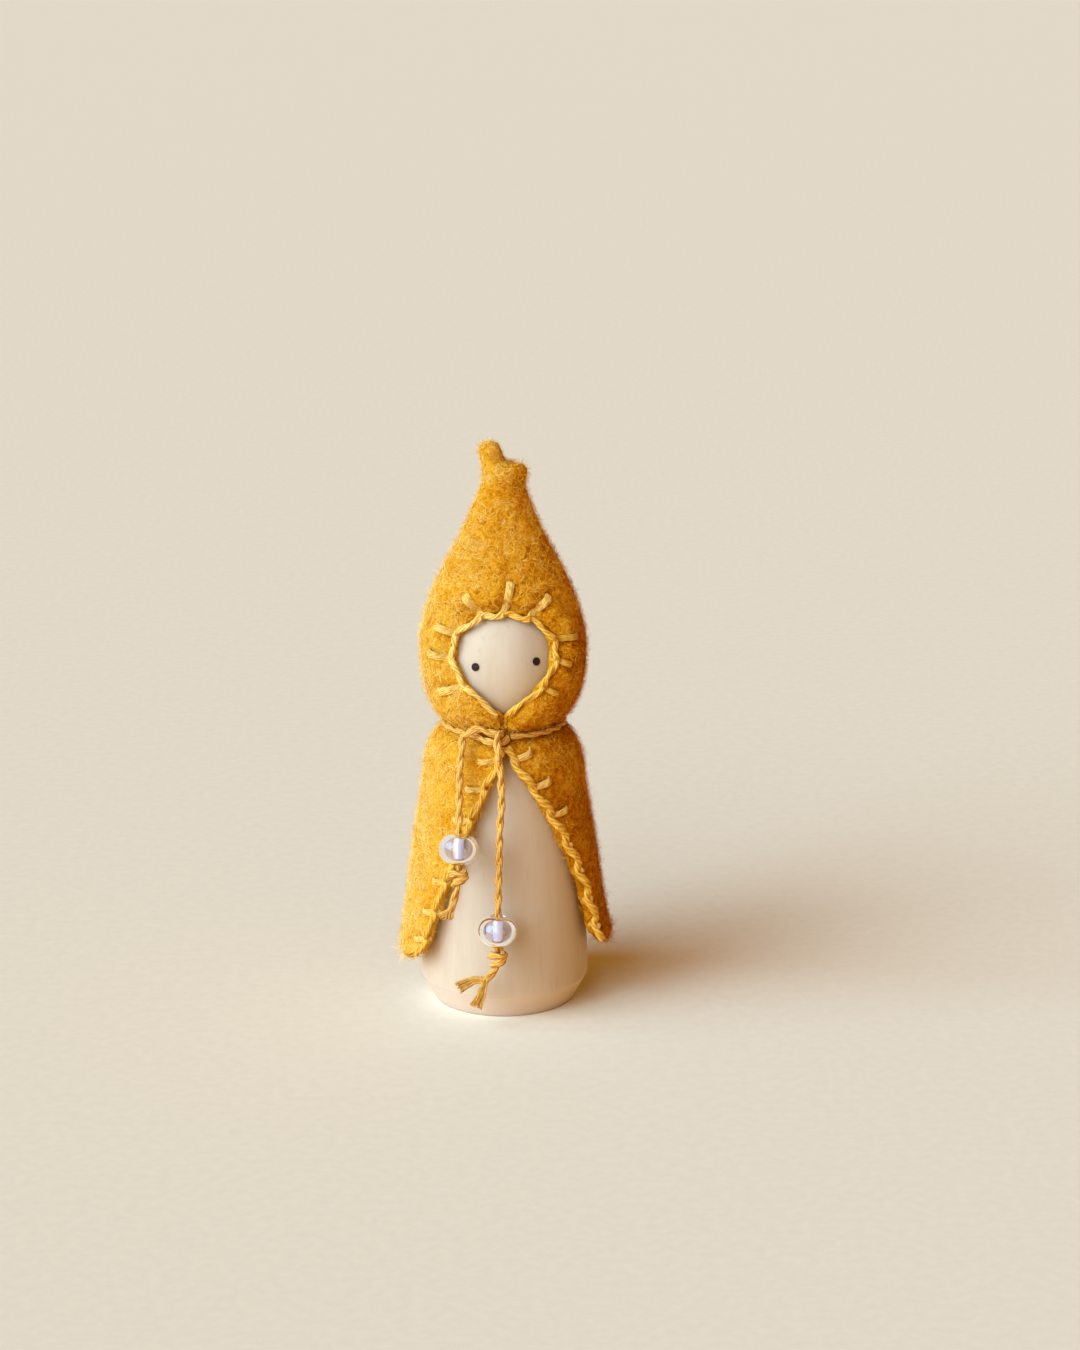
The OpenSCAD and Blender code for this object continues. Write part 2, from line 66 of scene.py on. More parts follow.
# Camera: a short telephoto lens that looks a little down on the doll
LENS = 89.2
SENSOR = 36
CAMERA_AT = (0, -416.3, 158.9)
CAMERA_AIM = (4.7, 0, 43.5)
NEAR_CLIP = 0.01

# The peg
HEAD_D = 17
HEAD_Z = box_mm("peg_body")[1][2] - HEAD_D / 2

# The cord round the neck and the groove that it lies in
ring_low, ring_high = box_mm("neck_cord")
CORD_D = ring_high[2] - ring_low[2]
CORD_R = CORD_D / 2
CORD_GAP = 0.1
RING_R = ring_high[0] - CORD_R
NECK_Z = (ring_low[2] + ring_high[2]) / 2
GROOVE_R = RING_R - CORD_R - CORD_GAP
GROOVE_TOP = NECK_Z + CORD_R + CORD_GAP
GROOVE_LOW = NECK_Z - CORD_R - CORD_GAP

# Felt: its thickness, also where its edge is drawn in, and the rounding of its cut edges
FELT_T = 1.5
EDGE_T = 1.0
EDGE_ROUND = 0.5
EDGE_STEPS = 5
FELT_COLS = 220
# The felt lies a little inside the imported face, which its fibres reach
FUZZ_INSET = 0.22
# Broad swells and small lumps
WOBBLE = 0.22
WOBBLE_SIZE = 9
HOOD_WOBBLE_SEED = 4.2
CAPE_WOBBLE_SEED = 7.7
LUMPS = 0.17
LUMP_SIZE = 0.95
FINE_LUMPS = 0.4 * LUMPS
FINE_LUMP_SIZE = LUMP_SIZE / 3
HOOD_LUMP_SEED = 2.5
CAPE_LUMP_SEED = 8.5
# Steps over which the felt's direction is measured
NORMAL_TURN = 0.5
NORMAL_RISE = 0.1
# Further than any distance on the felt
FAR = 99.0

# The hood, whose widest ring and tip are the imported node's
hood_high = box_mm("hood")[1]
HOOD_R = hood_high[0]
HOOD_WIDE_Z = HEAD_Z + 1.9
TIP_Z = hood_high[2]
TIP_RISE = 0.02
PEAK_R = 2.9
PEAK_LEN = 5.8
PEAK_Z = TIP_Z - PEAK_LEN
# The blunt peak and its nub: height, radius and sideways shift of each ring
PEAK_SHARES = [
    (0, 0.96, 0.02), (0.14, 0.95, 0.05), (0.28, 0.96, 0.07), (0.38, 0.96, 0.07), (0.44, 0.91, 0.02),
    (0.48, 0.8, -0.09), (0.52, 0.65, -0.28), (0.57, 0.53, -0.43), (0.66, 0.49, -0.5), (0.78, 0.49, -0.54),
    (0.88, 0.45, -0.56), (0.95, 0.32, -0.56), (1, 0.06, -0.55),
]
# The face opening, and the slit from its point down to the neck
OPENING_ANGLE = 46
OPENING_TOP = HEAD_Z + 7.2
OPENING_WIDE = HEAD_Z + 3
OPENING_LOW = HEAD_Z - 5.2
OPENING_POINT_SHARE = 1.6
OPENING_PLACES = 60
SLIT_SHARE = 0.9
SLIT_GAP = 0.03
# The hood's front is pressed back over the brow, from above the eyes to the peak
BROW_PRESS = 3.4
BROW_LOW = HEAD_Z + 2
BROW_HIGH = HEAD_Z + 9
# How near the stitched edge of the hood is drawn to the face, and over what width
FACE_GAP = 1.1
TUCK_LEAST = 0.5
TUCK_MOST = 2.8
TUCK_W = 1.5
# Rows of the hood from the neck up, how they crowd towards the tip, and the hollow above the head
LOW_ROWS = 12
OPENING_ROWS = 44
CONE_ROWS = 64
PEAK_ROWS = 40
PEAK_CROWD = 0.85
HOLLOW_ROWS = 24
HOLLOW_RISE = 1

# The cape
SHOULDER_Z = 31
CAPE_TOP_R = 10.5
HEM_R = 13.5
HEM_Z = 7.95
HEM_TILT = 0.75
# Turn of a front edge at the hem, and how far it bows on the way: side 1 is right, -1 left
CAPE_EDGES = {1: (66, 0.22), -1: (55, 0.1)}
CAPE_EDGE_LEAST = 1.2
CORNER_H = 1.5
CORNER_TURN = 14
SLACK_LEAST = 0.5
# How far the hem swings out: place in degrees of turn, width, distance and power of the fall
FLARES = [(84, 38, 0.8, 1.5), (-62, 22, 0.7, 6)]
# Rows of the cape below and above a share of its fall, and how far its top turns in under the cord
FALL_ROWS = 73
TOP_ROWS = 36
TOP_SHARE = 0.3
TURN_IN = 0.05

# Stitches round the face: turn and height above the head's centre of a bar's outer end,
# then of its inner end, from the point on the right, over the top, to the point on the left
HOOD_BARS = [
    (44, -2.5, 31, -1.2), (56, 1, 42, 2.2), (66, 4.2, 43, 4.2), (42, 9.5, 28.5, 7.6),
    (6.5, 11.3, 2.3, 8.5), (-35, 9.6, -23, 7.5), (-61, 5.6, -44, 4.7),
    (-66, 2.4, -49, 1.9), (-55, -2.4, -37, -1.6),
]
# The bars beyond this turn, on the shaded right, are slimmer and take the floss darkened as painted shade
SLIM_FROM = 43
# Places of the stitch bars down a front edge of the cape, as shares of its fall
CAPE_BAR_SHARES = [0.07, 0.2, 0.34, 0.49, 0.63, 0.77, 0.9]
CAPE_ENDS = (0.02, 0.975)
CAPE_EDGE_STEP = 0.01
CAPE_BAR_LEN = 2.5
# The lower bars are shorter, most of all on the right
LONG_BARS_TO = 0.4
LOW_BAR_SHARES = {1: 0.15, -1: 0.8}
# The bars lie flatter than square to the edge, some more than others
BAR_LEANS = {1: -0.4, -1: -0.45}
LEAN_SPREAD = 0.25
# The way of a bar: shares of its length, and how far it stands off the felt
HOOD_BAR_WAY = [(-0.08, -0.5), (0.06, 0.25), (0.35, 0.5), (0.7, 0.32), (0.9, -0.15)]
CAPE_BAR_WAY = [(-0.14, -0.7), (0.03, -0.15), (0.3, 0.2), (0.65, 0.45), (0.95, 0.3), (1.08, -0.5)]
# The end of a hood bar: how far it still is from the opening's edge, and how far off the felt
HOOD_BAR_END = [(0.35, -0.15), (0.05, -0.3)]
BAR_POINTS = 16
# Where the line of a hood bar is looked for, and the places on the outline that it may meet
BAR_LINE = np.linspace(0.6, 1.8, 60)
MEETING_PLACES = np.linspace(-0.9, 1, 160)
# Loops along an edge: where they start and end between two bars, and how they stand off the felt
SLIT_RUN = -0.93
HOOD_LOOP_SPAN = (-0.06, 1.06)
CAPE_LOOP_SPAN = (-0.05, 1.05)
LOOP_PLACES = 12
LOOP_RISE = 0.2
HOOD_LOOP_LIFT = 0.1
CAPE_LOOP_LIFT = 0.15
HOOD_LOOP_POINTS = 22
CAPE_LOOP_POINTS = 24
# A loop on the hood lies this far onto the felt, and is pulled towards the straight line
LOOP_OFF = 0.12
TAUT_SHARE = 0.45
TAUT_LIFT = 0.3
ROPE_LIFT = 0.2
ROPE_PLACES = 80
ROPE_POINTS = 240
# Floss for each kind of stitch: strands, width, twist, widths at both ends as shares, and where they
# aren't the usual ones, the radius of a strand and which of the two flosses it is; the second is the same
# floss darkened as painted shade
FLOSS_R = 0.17
HOOD_BAR = (6, 1.3, 0.25, (1.08, 0.85))
SLIM_BAR = (4, 0.95, 0.25, (1.08, 0.85), FLOSS_R, 1)
CAPE_BAR = (5, 1.17, 0.3, (0.6, 1.1))
HOOD_LOOP = (3, 1.2, 5.2, (1.1, 0.8), 0.27)
CAPE_LOOP = (3, 1.2, 5.2, (1.1, 0.85), 0.27, 1)
CAPE_ROPE = (3, 1.35, 44, (1, 1), 0.36, 1)
FLOSS_SIDES = 9
FLOSS_RIBS = 0.09
FLOSS_RIB_RUN = 0.9
FLOSS_THICK = (0.9, 1.1)
FLOSS_DEPTH = 0.5
FLOSS_TURNS = 0.12
FLOSS_WAVER = 0.03
FLOSS_SEED = 3
WAVER_SIZE = 0.8
# A bar dents the felt as far as the edge, but sinks into it before that, as shares of its length
BAR_DENTS_TO = 1.6
BAR_SHOWS_TO = 0.7
DENT = 0.42
CAPE_DENT = 0.8 * DENT
DENT_W = 0.8
# The felt swells between the bars: height, distance from the edge, width, distance from a bar
PUFF = 0.35
PUFF_AT = 1.9
PUFF_W = 1.3
PUFF_CLEAR = 1.4

# The two hanging tails: the route from the neck through the bead, the two halves of the frayed end
# from where they part, and how far each half spreads
TAILS = {
    "left": {
        "route": [(-5.2, -8.4, 37.6), (-5.4, -9.8, 35.7), (-5.6, -11, 33.5), (-5.8, -14.5, 22.4)],
        "frays": [[(-7.4, -14.8, 16.9), (-8.4, -14.4, 15.5)], [(-6.2, -15.9, 16.7), (-7, -15.9, 15.6)]],
        "spread": 0.5,
    },
    "right": {
        "route": [
            (-0.6, -10.9, 35.2), (-0.4, -11.2, 33), (-0.3, -11.5, 30.4), (-0.4, -11.8, 28),
            (-0.6, -12.1, 25.5), (-0.9, -13.8, 11.2),
        ],
        "frays": [
            [(-2.4, -13.9, 7.4), (-4, -13.8, 6.7), (-6.2, -13.6, 5.5)],
            [(-2.4, -15, 6.7), (-3, -15, 5.2), (-3.8, -15, 3.4)],
        ],
        "spread": 0.85,
    },
}
# The knot at the end of a tail, across, to the front and down from the bead
END_KNOT = [
    (0, 0, 0.1), (0.45, -0.4, 0.5), (0.9, 0.05, 0.8), (0.4, 0.55, 1), (-0.5, 0.5, 0.95), (-0.9, 0, 1),
    (-0.4, -0.55, 1.15), (0.5, -0.45, 1.3), (0.9, 0.1, 1.55), (0.35, 0.55, 1.85), (-0.4, 0.35, 2.05),
    (-0.4, -0.1, 2.35), (-0.1, 0, 2.8),
]
# Strands of the knot at the neck, each with its twist at the start: one runs over the top to the left
# tail, one from the ring's left end across the front, and one from under the hood to the right tail
KNOT_STRANDS = [
    (0.6, [
        (-0.3, -8.5, 37.9), (-1.2, -9, 38.25), (-2.1, -8.95, 38.5), (-2.9, -8.85, 38.8),
        (-3.7, -8.9, 38.8), (-4.5, -8.8, 38.3), (-5.2, -8.4, 37.6),
    ]),
    (1.9, [
        (-4.6, -6.45, 37.5), (-3.5, -7.4, 37.5), (-2.7, -8.5, 37.4), (-1.8, -9.2, 37.2),
        (-1, -9.2, 37.05), (-0.2, -8.8, 37.1), (0.6, -8.1, 37.4),
    ]),
    (0.2, [
        (-0.45, -8.2, 38.3), (-0.75, -9.3, 38), (-0.85, -9.9, 37.3), (-0.75, -10.4, 36.4),
        (-0.65, -10.75, 35.7), (-0.6, -10.9, 35.2),
    ]),
]
# The ring is a little thinner than the tails and sinks into its groove
RING_SHARE = 0.78
RING_SINK = 0.14
RING_TURNS = np.linspace(6, 334, 80)
# Two plies, which fill the cord but for the hollows between them
CORD_LOOK_R = CORD_R * 0.86
CORD_PITCH = 4.8
CORD_STEP = 0.12
PLY_SHARE = 0.6
PLY_SIDES = 10
PLY_RIBS = 0.07
PLY_RIB_RUN = 1.1
PLY_UNEVEN = 0.05
PLY_UNEVEN_SIZE = 1.7
PLY_SEED = 3.1
# Yarns of a frayed end
FRAY_YARNS = 40
FRAY_R = 0.11
FRAY_TAPER = 0.8
FRAY_SIDES = 5
FRAY_START = 0.26
FRAY_OPENS = 1.4
FRAY_CUTS = (0.88, 1)
FRAY_STEP = 0.2
FRAY_WAVER = 0.06
FRAY_SEED = 5
# Steps along a tail's route, and along its declared path
ROUTE_STEP = 1.0
PATH_STEP = 0.3

# Beads
BEAD_D = 5.1
BEAD_H = 4.2
BORE_R = 0.95
BEAD_LIP = 0.22
LIP_BENDS = (0.5, 1.0, 1.5)
BEAD_COLS = 96
BEAD_ROWS = 36

# Curves and strands
CURVE_STEPS = 24
FINE_STEP = 0.05
STRAND_RIBS = 3
FIRST_SIDE = np.array([0.3, 0.9, 0.2])


# Small helpers for points and directions


def unit(v):
    return v / np.maximum(np.linalg.norm(v, axis=-1, keepdims=True), 1e-9)


def around(r, turn, z):
    """Points at a radius, a turn from the front and a height."""
    a = np.radians(turn)
    r, a, z = np.broadcast_arrays(r, a, z)
    return np.stack([r * np.sin(a), -r * np.cos(a), z], axis=-1)


def outward(points):
    """The level direction away from the doll's axis."""
    flat = np.array(points, float)
    flat[..., 2] = 0
    return unit(flat)


def bell(distance, width):
    """1 at no distance, falling softly to 0 over a width."""
    return np.exp(-((distance / width) ** 2))


def rough(points, size, seed):
    """A smooth random value from about -1 to 1 at each point, with bumps of that size."""
    flat = np.asarray(points, float).reshape(-1, 3) / size + seed
    values = [noise.noise(Vector(p)) for p in flat]
    return np.array(values).reshape(np.shape(points)[:-1])


def wavered(line, by, seed):
    """A line that wavers by a little in all directions."""
    return line + by * np.stack([rough(line, WAVER_SIZE, seed + q) for q in (1, 2, 3)], axis=1)


def run_lengths(path):
    """Length along a path up to each of its points."""
    return np.concatenate([[0], np.cumsum(np.linalg.norm(np.diff(path, axis=0), axis=1))])


def resampled(path, step):
    """The path as a smooth curve through its points, with points about step apart."""
    p = np.asarray(path, float)
    p = np.vstack([2 * p[0] - p[1], p, 2 * p[-1] - p[-2]])
    t = np.linspace(0, 1, CURVE_STEPS, endpoint=False)[:, None]
    fine = []
    for a, b, c, d in zip(p[:-3], p[1:-2], p[2:-1], p[3:]):
        fine.append(
            0.5 * (2 * b + (c - a) * t + (2 * a - 5 * b + 4 * c - d) * t**2 + (3 * b - a - 3 * c + d) * t**3)
        )
    fine = np.vstack([*fine, p[-2]])
    along = run_lengths(fine)
    count = max(3, int(along[-1] / step) + 1)
    at = np.linspace(0, along[-1], count)
    return np.stack([np.interp(at, along, fine[:, k]) for k in range(3)], axis=1)


def smooth_between(points, count):
    """A smooth run of so many points through the given ones."""
    fine = resampled(points, FINE_STEP)
    at = np.linspace(0, len(fine) - 1, count).round().astype(int)
    return fine[at]


def side_frames(path):
    """Two directions across a path at each of its points, without sudden twists."""
    t = unit(np.gradient(path, axis=0))
    a = [unit(FIRST_SIDE - (FIRST_SIDE @ t[0]) * t[0])]
    for k in range(1, len(t)):
        a.append(unit(a[-1] - (a[-1] @ t[k]) * t[k]))
    a = np.array(a)
    return a, np.cross(t, a)


# Making meshes and pieces


def band_faces(rows, cols, closed=False):
    """Faces between rings of points, with the last ring joined to the first if closed."""

    def at(j, k):
        return j % rows * cols + k % cols

    bands = rows if closed else rows - 1
    return [
        (at(j, k), at(j, k + 1), at(j + 1, k + 1), at(j + 1, k)) for j in range(bands) for k in range(cols)
    ]


def new_object(name, points_mm, faces, materials):
    """A smooth mesh object in metres, from points in millimetres."""
    mesh = bpy.data.meshes.new(name)
    mesh.from_pydata((np.asarray(points_mm) * MM).tolist(), [], faces)
    for material in materials:
        mesh.materials.append(material)
    mesh.polygons.foreach_set("use_smooth", np.ones(len(mesh.polygons), bool))
    made = bpy.data.objects.new(name, mesh)
    bpy.context.scene.collection.objects.link(made)
    return made


def use_materials(made, tones):
    """Gives each face one of the object's materials, by number."""
    made.data.polygons.foreach_set("material_index", np.asarray(tones, np.int32))
    made.data.update()


def piece(made, body, slot, *nodes):
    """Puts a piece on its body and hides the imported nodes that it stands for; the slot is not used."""
    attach(made, body)
    if nodes:
        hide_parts(*nodes)
    return made


class Pile:
    """Vertices, faces and strand coordinates of many strands that become one mesh."""

    def __init__(self):
        self.points, self.faces, self.lay, self.tones, self.count = [], [], [], [], 0

    def tube(self, path, radii, sides, ribs=0.0, rib_run=1.0, tone=0):
        """A closed round strand, with twisted ribs if asked, in one of the pile's materials."""
        path = np.asarray(path, float)
        rows = len(path)
        a, b = side_frames(path)
        turns = np.arange(sides) * 2 * np.pi / sides
        along = run_lengths(path)
        radii = np.broadcast_to(radii, rows)
        rib = 1 + ribs * np.cos(STRAND_RIBS * turns[None, :] + along[:, None] * 2 * np.pi / rib_run)
        ring = np.cos(turns)[None, :, None] * a[:, None] + np.sin(turns)[None, :, None] * b[:, None]
        points = path[:, None] + (radii[:, None] * rib)[:, :, None] * ring
        faces = band_faces(rows, sides)
        faces += [tuple(range(sides))[::-1], tuple((rows - 1) * sides + k for k in range(sides))]
        lay = np.stack(np.broadcast_arrays(turns[None, :] / (2 * np.pi), along[:, None]), axis=-1)
        self.points.append(points.reshape(-1, 3))
        self.lay.append(lay.reshape(-1, 2))
        self.faces += [tuple(k + self.count for k in f) for f in faces]
        self.tones += [tone] * len(faces)
        self.count += rows * sides

    def object(self, name, *materials):
        made = new_object(name, np.vstack(self.points), self.faces, materials)
        use_materials(made, self.tones)
        lay = np.vstack(self.lay)
        corners = np.zeros(len(made.data.loops), np.int32)
        made.data.loops.foreach_get("vertex_index", corners)
        made.data.uv_layers.new(name="lay").data.foreach_set("uv", lay[corners].ravel())
        return made


# Camera


def make_camera():
    data = bpy.data.cameras.new("camera")
    data.lens = LENS
    data.sensor_fit = "VERTICAL"
    data.sensor_height = SENSOR
    data.sensor_width = SENSOR
    data.clip_start = NEAR_CLIP
    made = bpy.data.objects.new("camera", data)
    bpy.context.scene.collection.objects.link(made)
    at, aim = Vector(CAMERA_AT) * MM, Vector(CAMERA_AIM) * MM
    made.location = at
    made.rotation_euler = (aim - at).to_track_quat("-Z", "Y").to_euler()
    bpy.context.scene.camera = made


make_camera()


# Materials: tones are colours along a value from 0 to 1, and sizes are features for each metre

WOOD_TONES = [(0.3, (0.64, 0.575, 0.455)), (0.52, (0.67, 0.615, 0.50)), (0.75, (0.69, 0.64, 0.53))]
BAND_TONES = [(0.35, (0.975, 0.96, 0.94)), (0.65, (1, 1, 1))]
FLECK_TONES = [(0.24, (0.80, 0.70, 0.58)), (0.36, (1, 1, 1))]
FLECK_SHARE = 0.25
# Painted light: the turned bevel at the foot is painted paler than the body, for the light that the floor
# throws up onto it
FOOT_H = 3.1
FOOT_FADE = 0.5
FOOT_LIGHT_SHARE = 0.55
FOOT_LIGHT_COLOUR = (0.79, 0.79, 0.79, 1)
PAINT_TONES = [(0.3, (0.011, 0.003, 0.002)), (0.8, (0.036, 0.01, 0.007))]
FELT_TONES = [
    (0.39, (0.38, 0.105, 0.0015)),
    (0.46, (0.68, 0.28, 0.005)),
    (0.53, (0.84, 0.45, 0.022)),
    (0.61, (0.93, 0.62, 0.09)),
]
# Painted light makes the wool paler towards the lit left and darker towards the shaded right: the felt, for
# each metre, and its fibres;
FELT_LIGHT_GRADIENT = -4
FIBRE_LIGHT_GRADIENT = 0.55
# and a painted highlight makes the fibres paler at the tip of the hood, where the nub catches the light
TIP_HIGHLIGHT = 0.6
LINING_TONES = [(0.35, (0.68, 0.65, 0.86)), (0.65, (0.93, 0.92, 0.97))]


class Nodes:
    """Short calls that make and link the nodes of a shader tree."""

    def __init__(self, tree):
        self.tree = tree

    def node(self, kind, inputs=None, **settings):
        made = self.tree.nodes.new("ShaderNode" + kind)
        for key, value in settings.items():
            setattr(made, key, value)
        for key, value in (inputs or {}).items():
            self.feed(made.inputs[key], value)
        return made

    def feed(self, socket, value):
        if isinstance(value, bpy.types.NodeSocket):
            self.tree.links.new(value, socket)
        else:
            socket.default_value = value

    def math(self, operation, *values):
        return self.node("Math", dict(enumerate(values)), operation=operation).outputs[0]

    def weighed(self, *parts):
        """The sum of values, each times its weight."""
        products = [self.math("MULTIPLY", value, weight) for value, weight in parts]
        total = products[0]
        for product in products[1:]:
            total = self.math("ADD", total, product)
        return total

    def mix(self, share, a, b, blend="MIX"):
        inputs = {"Factor": share, "A": a, "B": b}
        return self.node("Mix", inputs, data_type="RGBA", blend_type=blend).outputs["Result"]

    def seen(self):
        """1 for what the camera, gloss and glass see, and 0 for what lights other surfaces."""
        path = self.node("LightPath")
        share = path.outputs["Is Camera Ray"]
        for name in ("Is Glossy Ray", "Is Transmission Ray"):
            share = self.math("MAXIMUM", share, path.outputs[name])
        return share


class Finish(Nodes):
    """A material: a Principled shader and what feeds it."""

    def __init__(self, name, **settings):
        self.material = bpy.data.materials.new(name)
        self.material.use_nodes = True
        super().__init__(self.material.node_tree)
        self.shader = self.tree.nodes["Principled BSDF"]
        for socket, value in settings.items():
            self.shader.inputs[socket.replace("_", " ")].default_value = value

    def place(self, scale):
        """The object's own coordinates, times a scale for each axis."""
        coordinates = self.node("TexCoord").outputs["Object"]
        return self.node("Mapping", {"Vector": coordinates, "Scale": scale}).outputs[0]

    def axis(self, number, scale=1):
        """One of the object's own coordinates, times a scale."""
        return self.node("SeparateXYZ", {0: self.place((scale, scale, scale))}).outputs[number]

    def speckle(self, sizes, detail=2.0, rough=0.5, twist=0.0):
        """Noise of a size for each axis."""
        settings = {"Scale": 1.0, "Detail": detail, "Roughness": rough, "Distortion": twist}
        return self.node("TexNoise", {"Vector": self.place(sizes), **settings}).outputs["Fac"]

    def ramp(self, value, tones):
        """Colours along a value from 0 to 1."""
        made = self.node("ValToRGB", {"Fac": value})
        ramp = made.color_ramp
        while len(ramp.elements) < len(tones):
            ramp.elements.new(0.5)
        for element, (at, colour) in zip(ramp.elements, tones):
            element.position = at
            element.color = (*colour, 1)
        return made.outputs["Color"]

    def colour(self, value):
        self.feed(self.shader.inputs["Base Color"], value)

    def bump(self, height, depth_mm, strength):
        made = self.node("Bump", {"Height": height, "Distance": depth_mm * MM, "Strength": strength})
        self.feed(self.shader.inputs["Normal"], made.outputs["Normal"])


def wood_finish():
    """Pale turned hardwood: long soft grain up the peg, short dark flecks and fine turning marks."""
    f = Finish(
        "pale_wood",
        Roughness=0.62,
        Specular_IOR_Level=0.18,
        Subsurface_Weight=0.6,
        Subsurface_Scale=0.004,
        Subsurface_Radius=(1.0, 0.85, 0.7),
    )
    grain = f.speckle((420, 420, 26), detail=4, rough=0.6, twist=0.6)
    band = f.speckle((150, 150, 12), twist=1.2)
    fleck = f.speckle((1600, 1600, 150), detail=1)
    marks = f.speckle((60, 60, 2600), detail=1)
    colour = f.mix(1.0, f.ramp(grain, WOOD_TONES), f.ramp(band, BAND_TONES), "MULTIPLY")
    colour = f.mix(FLECK_SHARE, colour, f.ramp(fleck, FLECK_TONES), "MULTIPLY")
    # Painted light: paler over the bevel at the foot
    limits = {"From Min": (FOOT_H + FOOT_FADE) * MM, "From Max": FOOT_H * MM, "To Max": FOOT_LIGHT_SHARE}
    foot_light = f.node("MapRange", {"Value": f.axis(2), **limits}).outputs["Result"]
    f.colour(f.mix(foot_light, colour, FOOT_LIGHT_COLOUR))
    f.bump(f.weighed((grain, 0.7), (marks, 0.3)), 0.03, 0.4)
    return f.material


def paint_finish():
    """Dark brown paint, a little uneven."""
    f = Finish("eye_paint", Roughness=0.5, Specular_IOR_Level=0.2)
    spots = f.speckle((2500, 2500, 2500))
    f.colour(f.ramp(spots, PAINT_TONES))
    f.bump(spots, 0.02, 0.4)
    return f.material


def felt_finish():
    """Mustard wool felt: clumps of matted fibre in lighter and darker golds, with painted light that makes
    it paler towards the lit left.
    """
    f = Finish("wool_felt", Roughness=1.0, Specular_IOR_Level=0.0)
    cloud = f.speckle((190, 190, 190), detail=3, rough=0.55, twist=0.6)
    clump = f.speckle((900, 900, 900), detail=3, rough=0.6, twist=1.4)
    hair = f.speckle((3800, 3800, 3800), rough=0.6, twist=2.5)
    tone = f.weighed((cloud, 0.22), (clump, 0.42), (hair, 0.36))
    # Painted light: the felt is paler towards the lit left and darker towards the shaded right
    f.colour(f.ramp(f.math("ADD", tone, f.axis(0, FELT_LIGHT_GRADIENT)), FELT_TONES))
    f.bump(f.weighed((clump, 0.6), (hair, 0.4)), 0.35, 0.9)
    return f.material


def fibre_finish(name, colour):
    """One tone of loose wool fibre."""
    return Finish(name, Roughness=1.0, Specular_IOR_Level=0.0, Base_Color=(*colour, 1)).material


def strand_finish(name, dark, light, gloss, lines, slant):
    """Thread whose fibres run in slanting lines round each strand."""
    f = Finish(name, Roughness=0.7, Specular_IOR_Level=gloss)
    round_it, along = f.node("SeparateXYZ", {0: f.node("UVMap", uv_map="lay").outputs[0]}).outputs[:2]
    angle = f.weighed((round_it, lines), (along, slant))
    wave = f.math("SINE", f.math("MULTIPLY", angle, 2 * math.pi))
    line = f.math("ADD", f.math("MULTIPLY", wave, 0.5), 0.5)
    spots = f.speckle((1500, 1500, 1500), rough=0.6)
    # The thread is darker between its slanting fibres, painted shade in the grooves, and spotted in its own
    # tones
    f.colour(f.ramp(f.weighed((line, 0.4), (spots, 0.6)), [(0.28, dark), (0.62, light)]))
    f.bump(f.weighed((line, 1), (spots, 0.5)), 0.06, 0.7)
    return f.material


def glass_finish():
    """Clear glass with a thin iridescent coat."""
    f = Finish(
        "bead_glass",
        Base_Color=(0.74, 0.68, 0.76, 1),
        Roughness=0.03,
        IOR=1.38,
        Transmission_Weight=1.0,
        Thin_Film_Thickness=300.0,
        Thin_Film_IOR=1.6,
    )
    return f.material


def lining_finish():
    """The frosted lilac coat inside a bead's bore."""
    f = Finish("bead_lining", Roughness=0.3, Metallic=0.35, Thin_Film_Thickness=380.0, Thin_Film_IOR=1.6)
    f.colour(f.ramp(f.speckle((900, 900, 400)), LINING_TONES))
    return f.material


WOOD = wood_finish()
PAINT = paint_finish()
FELT = felt_finish()
FIBRES = [
    fibre_finish("wool_brown", (0.50, 0.14, 0.001)),
    fibre_finish("wool_gold", (0.85, 0.43, 0.012)),
    fibre_finish("wool_yellow", (0.94, 0.64, 0.07)),
    fibre_finish("wool_pale", (0.97, 0.82, 0.30)),
]
FLOSS_LOOK = {"gloss": 0.12, "lines": 4, "slant": 0.9}
FLOSS = strand_finish("floss", (0.70, 0.36, 0.02), (0.95, 0.76, 0.25), **FLOSS_LOOK)
# The same floss darker: painted shade for stitches on the shaded side and in the felt's shade
SHADED_FLOSS = strand_finish("shaded_floss", (0.60, 0.28, 0.012), (0.92, 0.62, 0.11), **FLOSS_LOOK)
CORD = strand_finish("cord", (0.58, 0.28, 0.035), (0.90, 0.60, 0.17), gloss=0.05, lines=5, slant=0.8)
GLASS = glass_finish()
LINING = lining_finish()


# Beads


def bead_profile():
    """Radius and height round a bead's cross-section, from the top down the outside and up the bore."""
    round_r = BEAD_H / 2
    middle_r = BEAD_D / 2 - round_r
    lip_r = BORE_R + BEAD_LIP
    top = (lip_r, math.sqrt(round_r**2 - (lip_r - BEAD_D / 2 + round_r) ** 2))
    bend = np.radians(np.linspace(90, -90, BEAD_ROWS))
    outer = [(middle_r + round_r * np.cos(q), round_r * np.sin(q)) for q in bend]
    outer = [(r, h) for r, h in outer if r > lip_r]
    lips = [
        (BORE_R + BEAD_LIP * (1 - math.sin(q)), top[1] - BEAD_LIP * (1 - math.cos(q))) for q in LIP_BENDS
    ]
    return [top, *outer, (lip_r, -top[1]), *[(r, -h) for r, h in lips], *lips[::-1]]


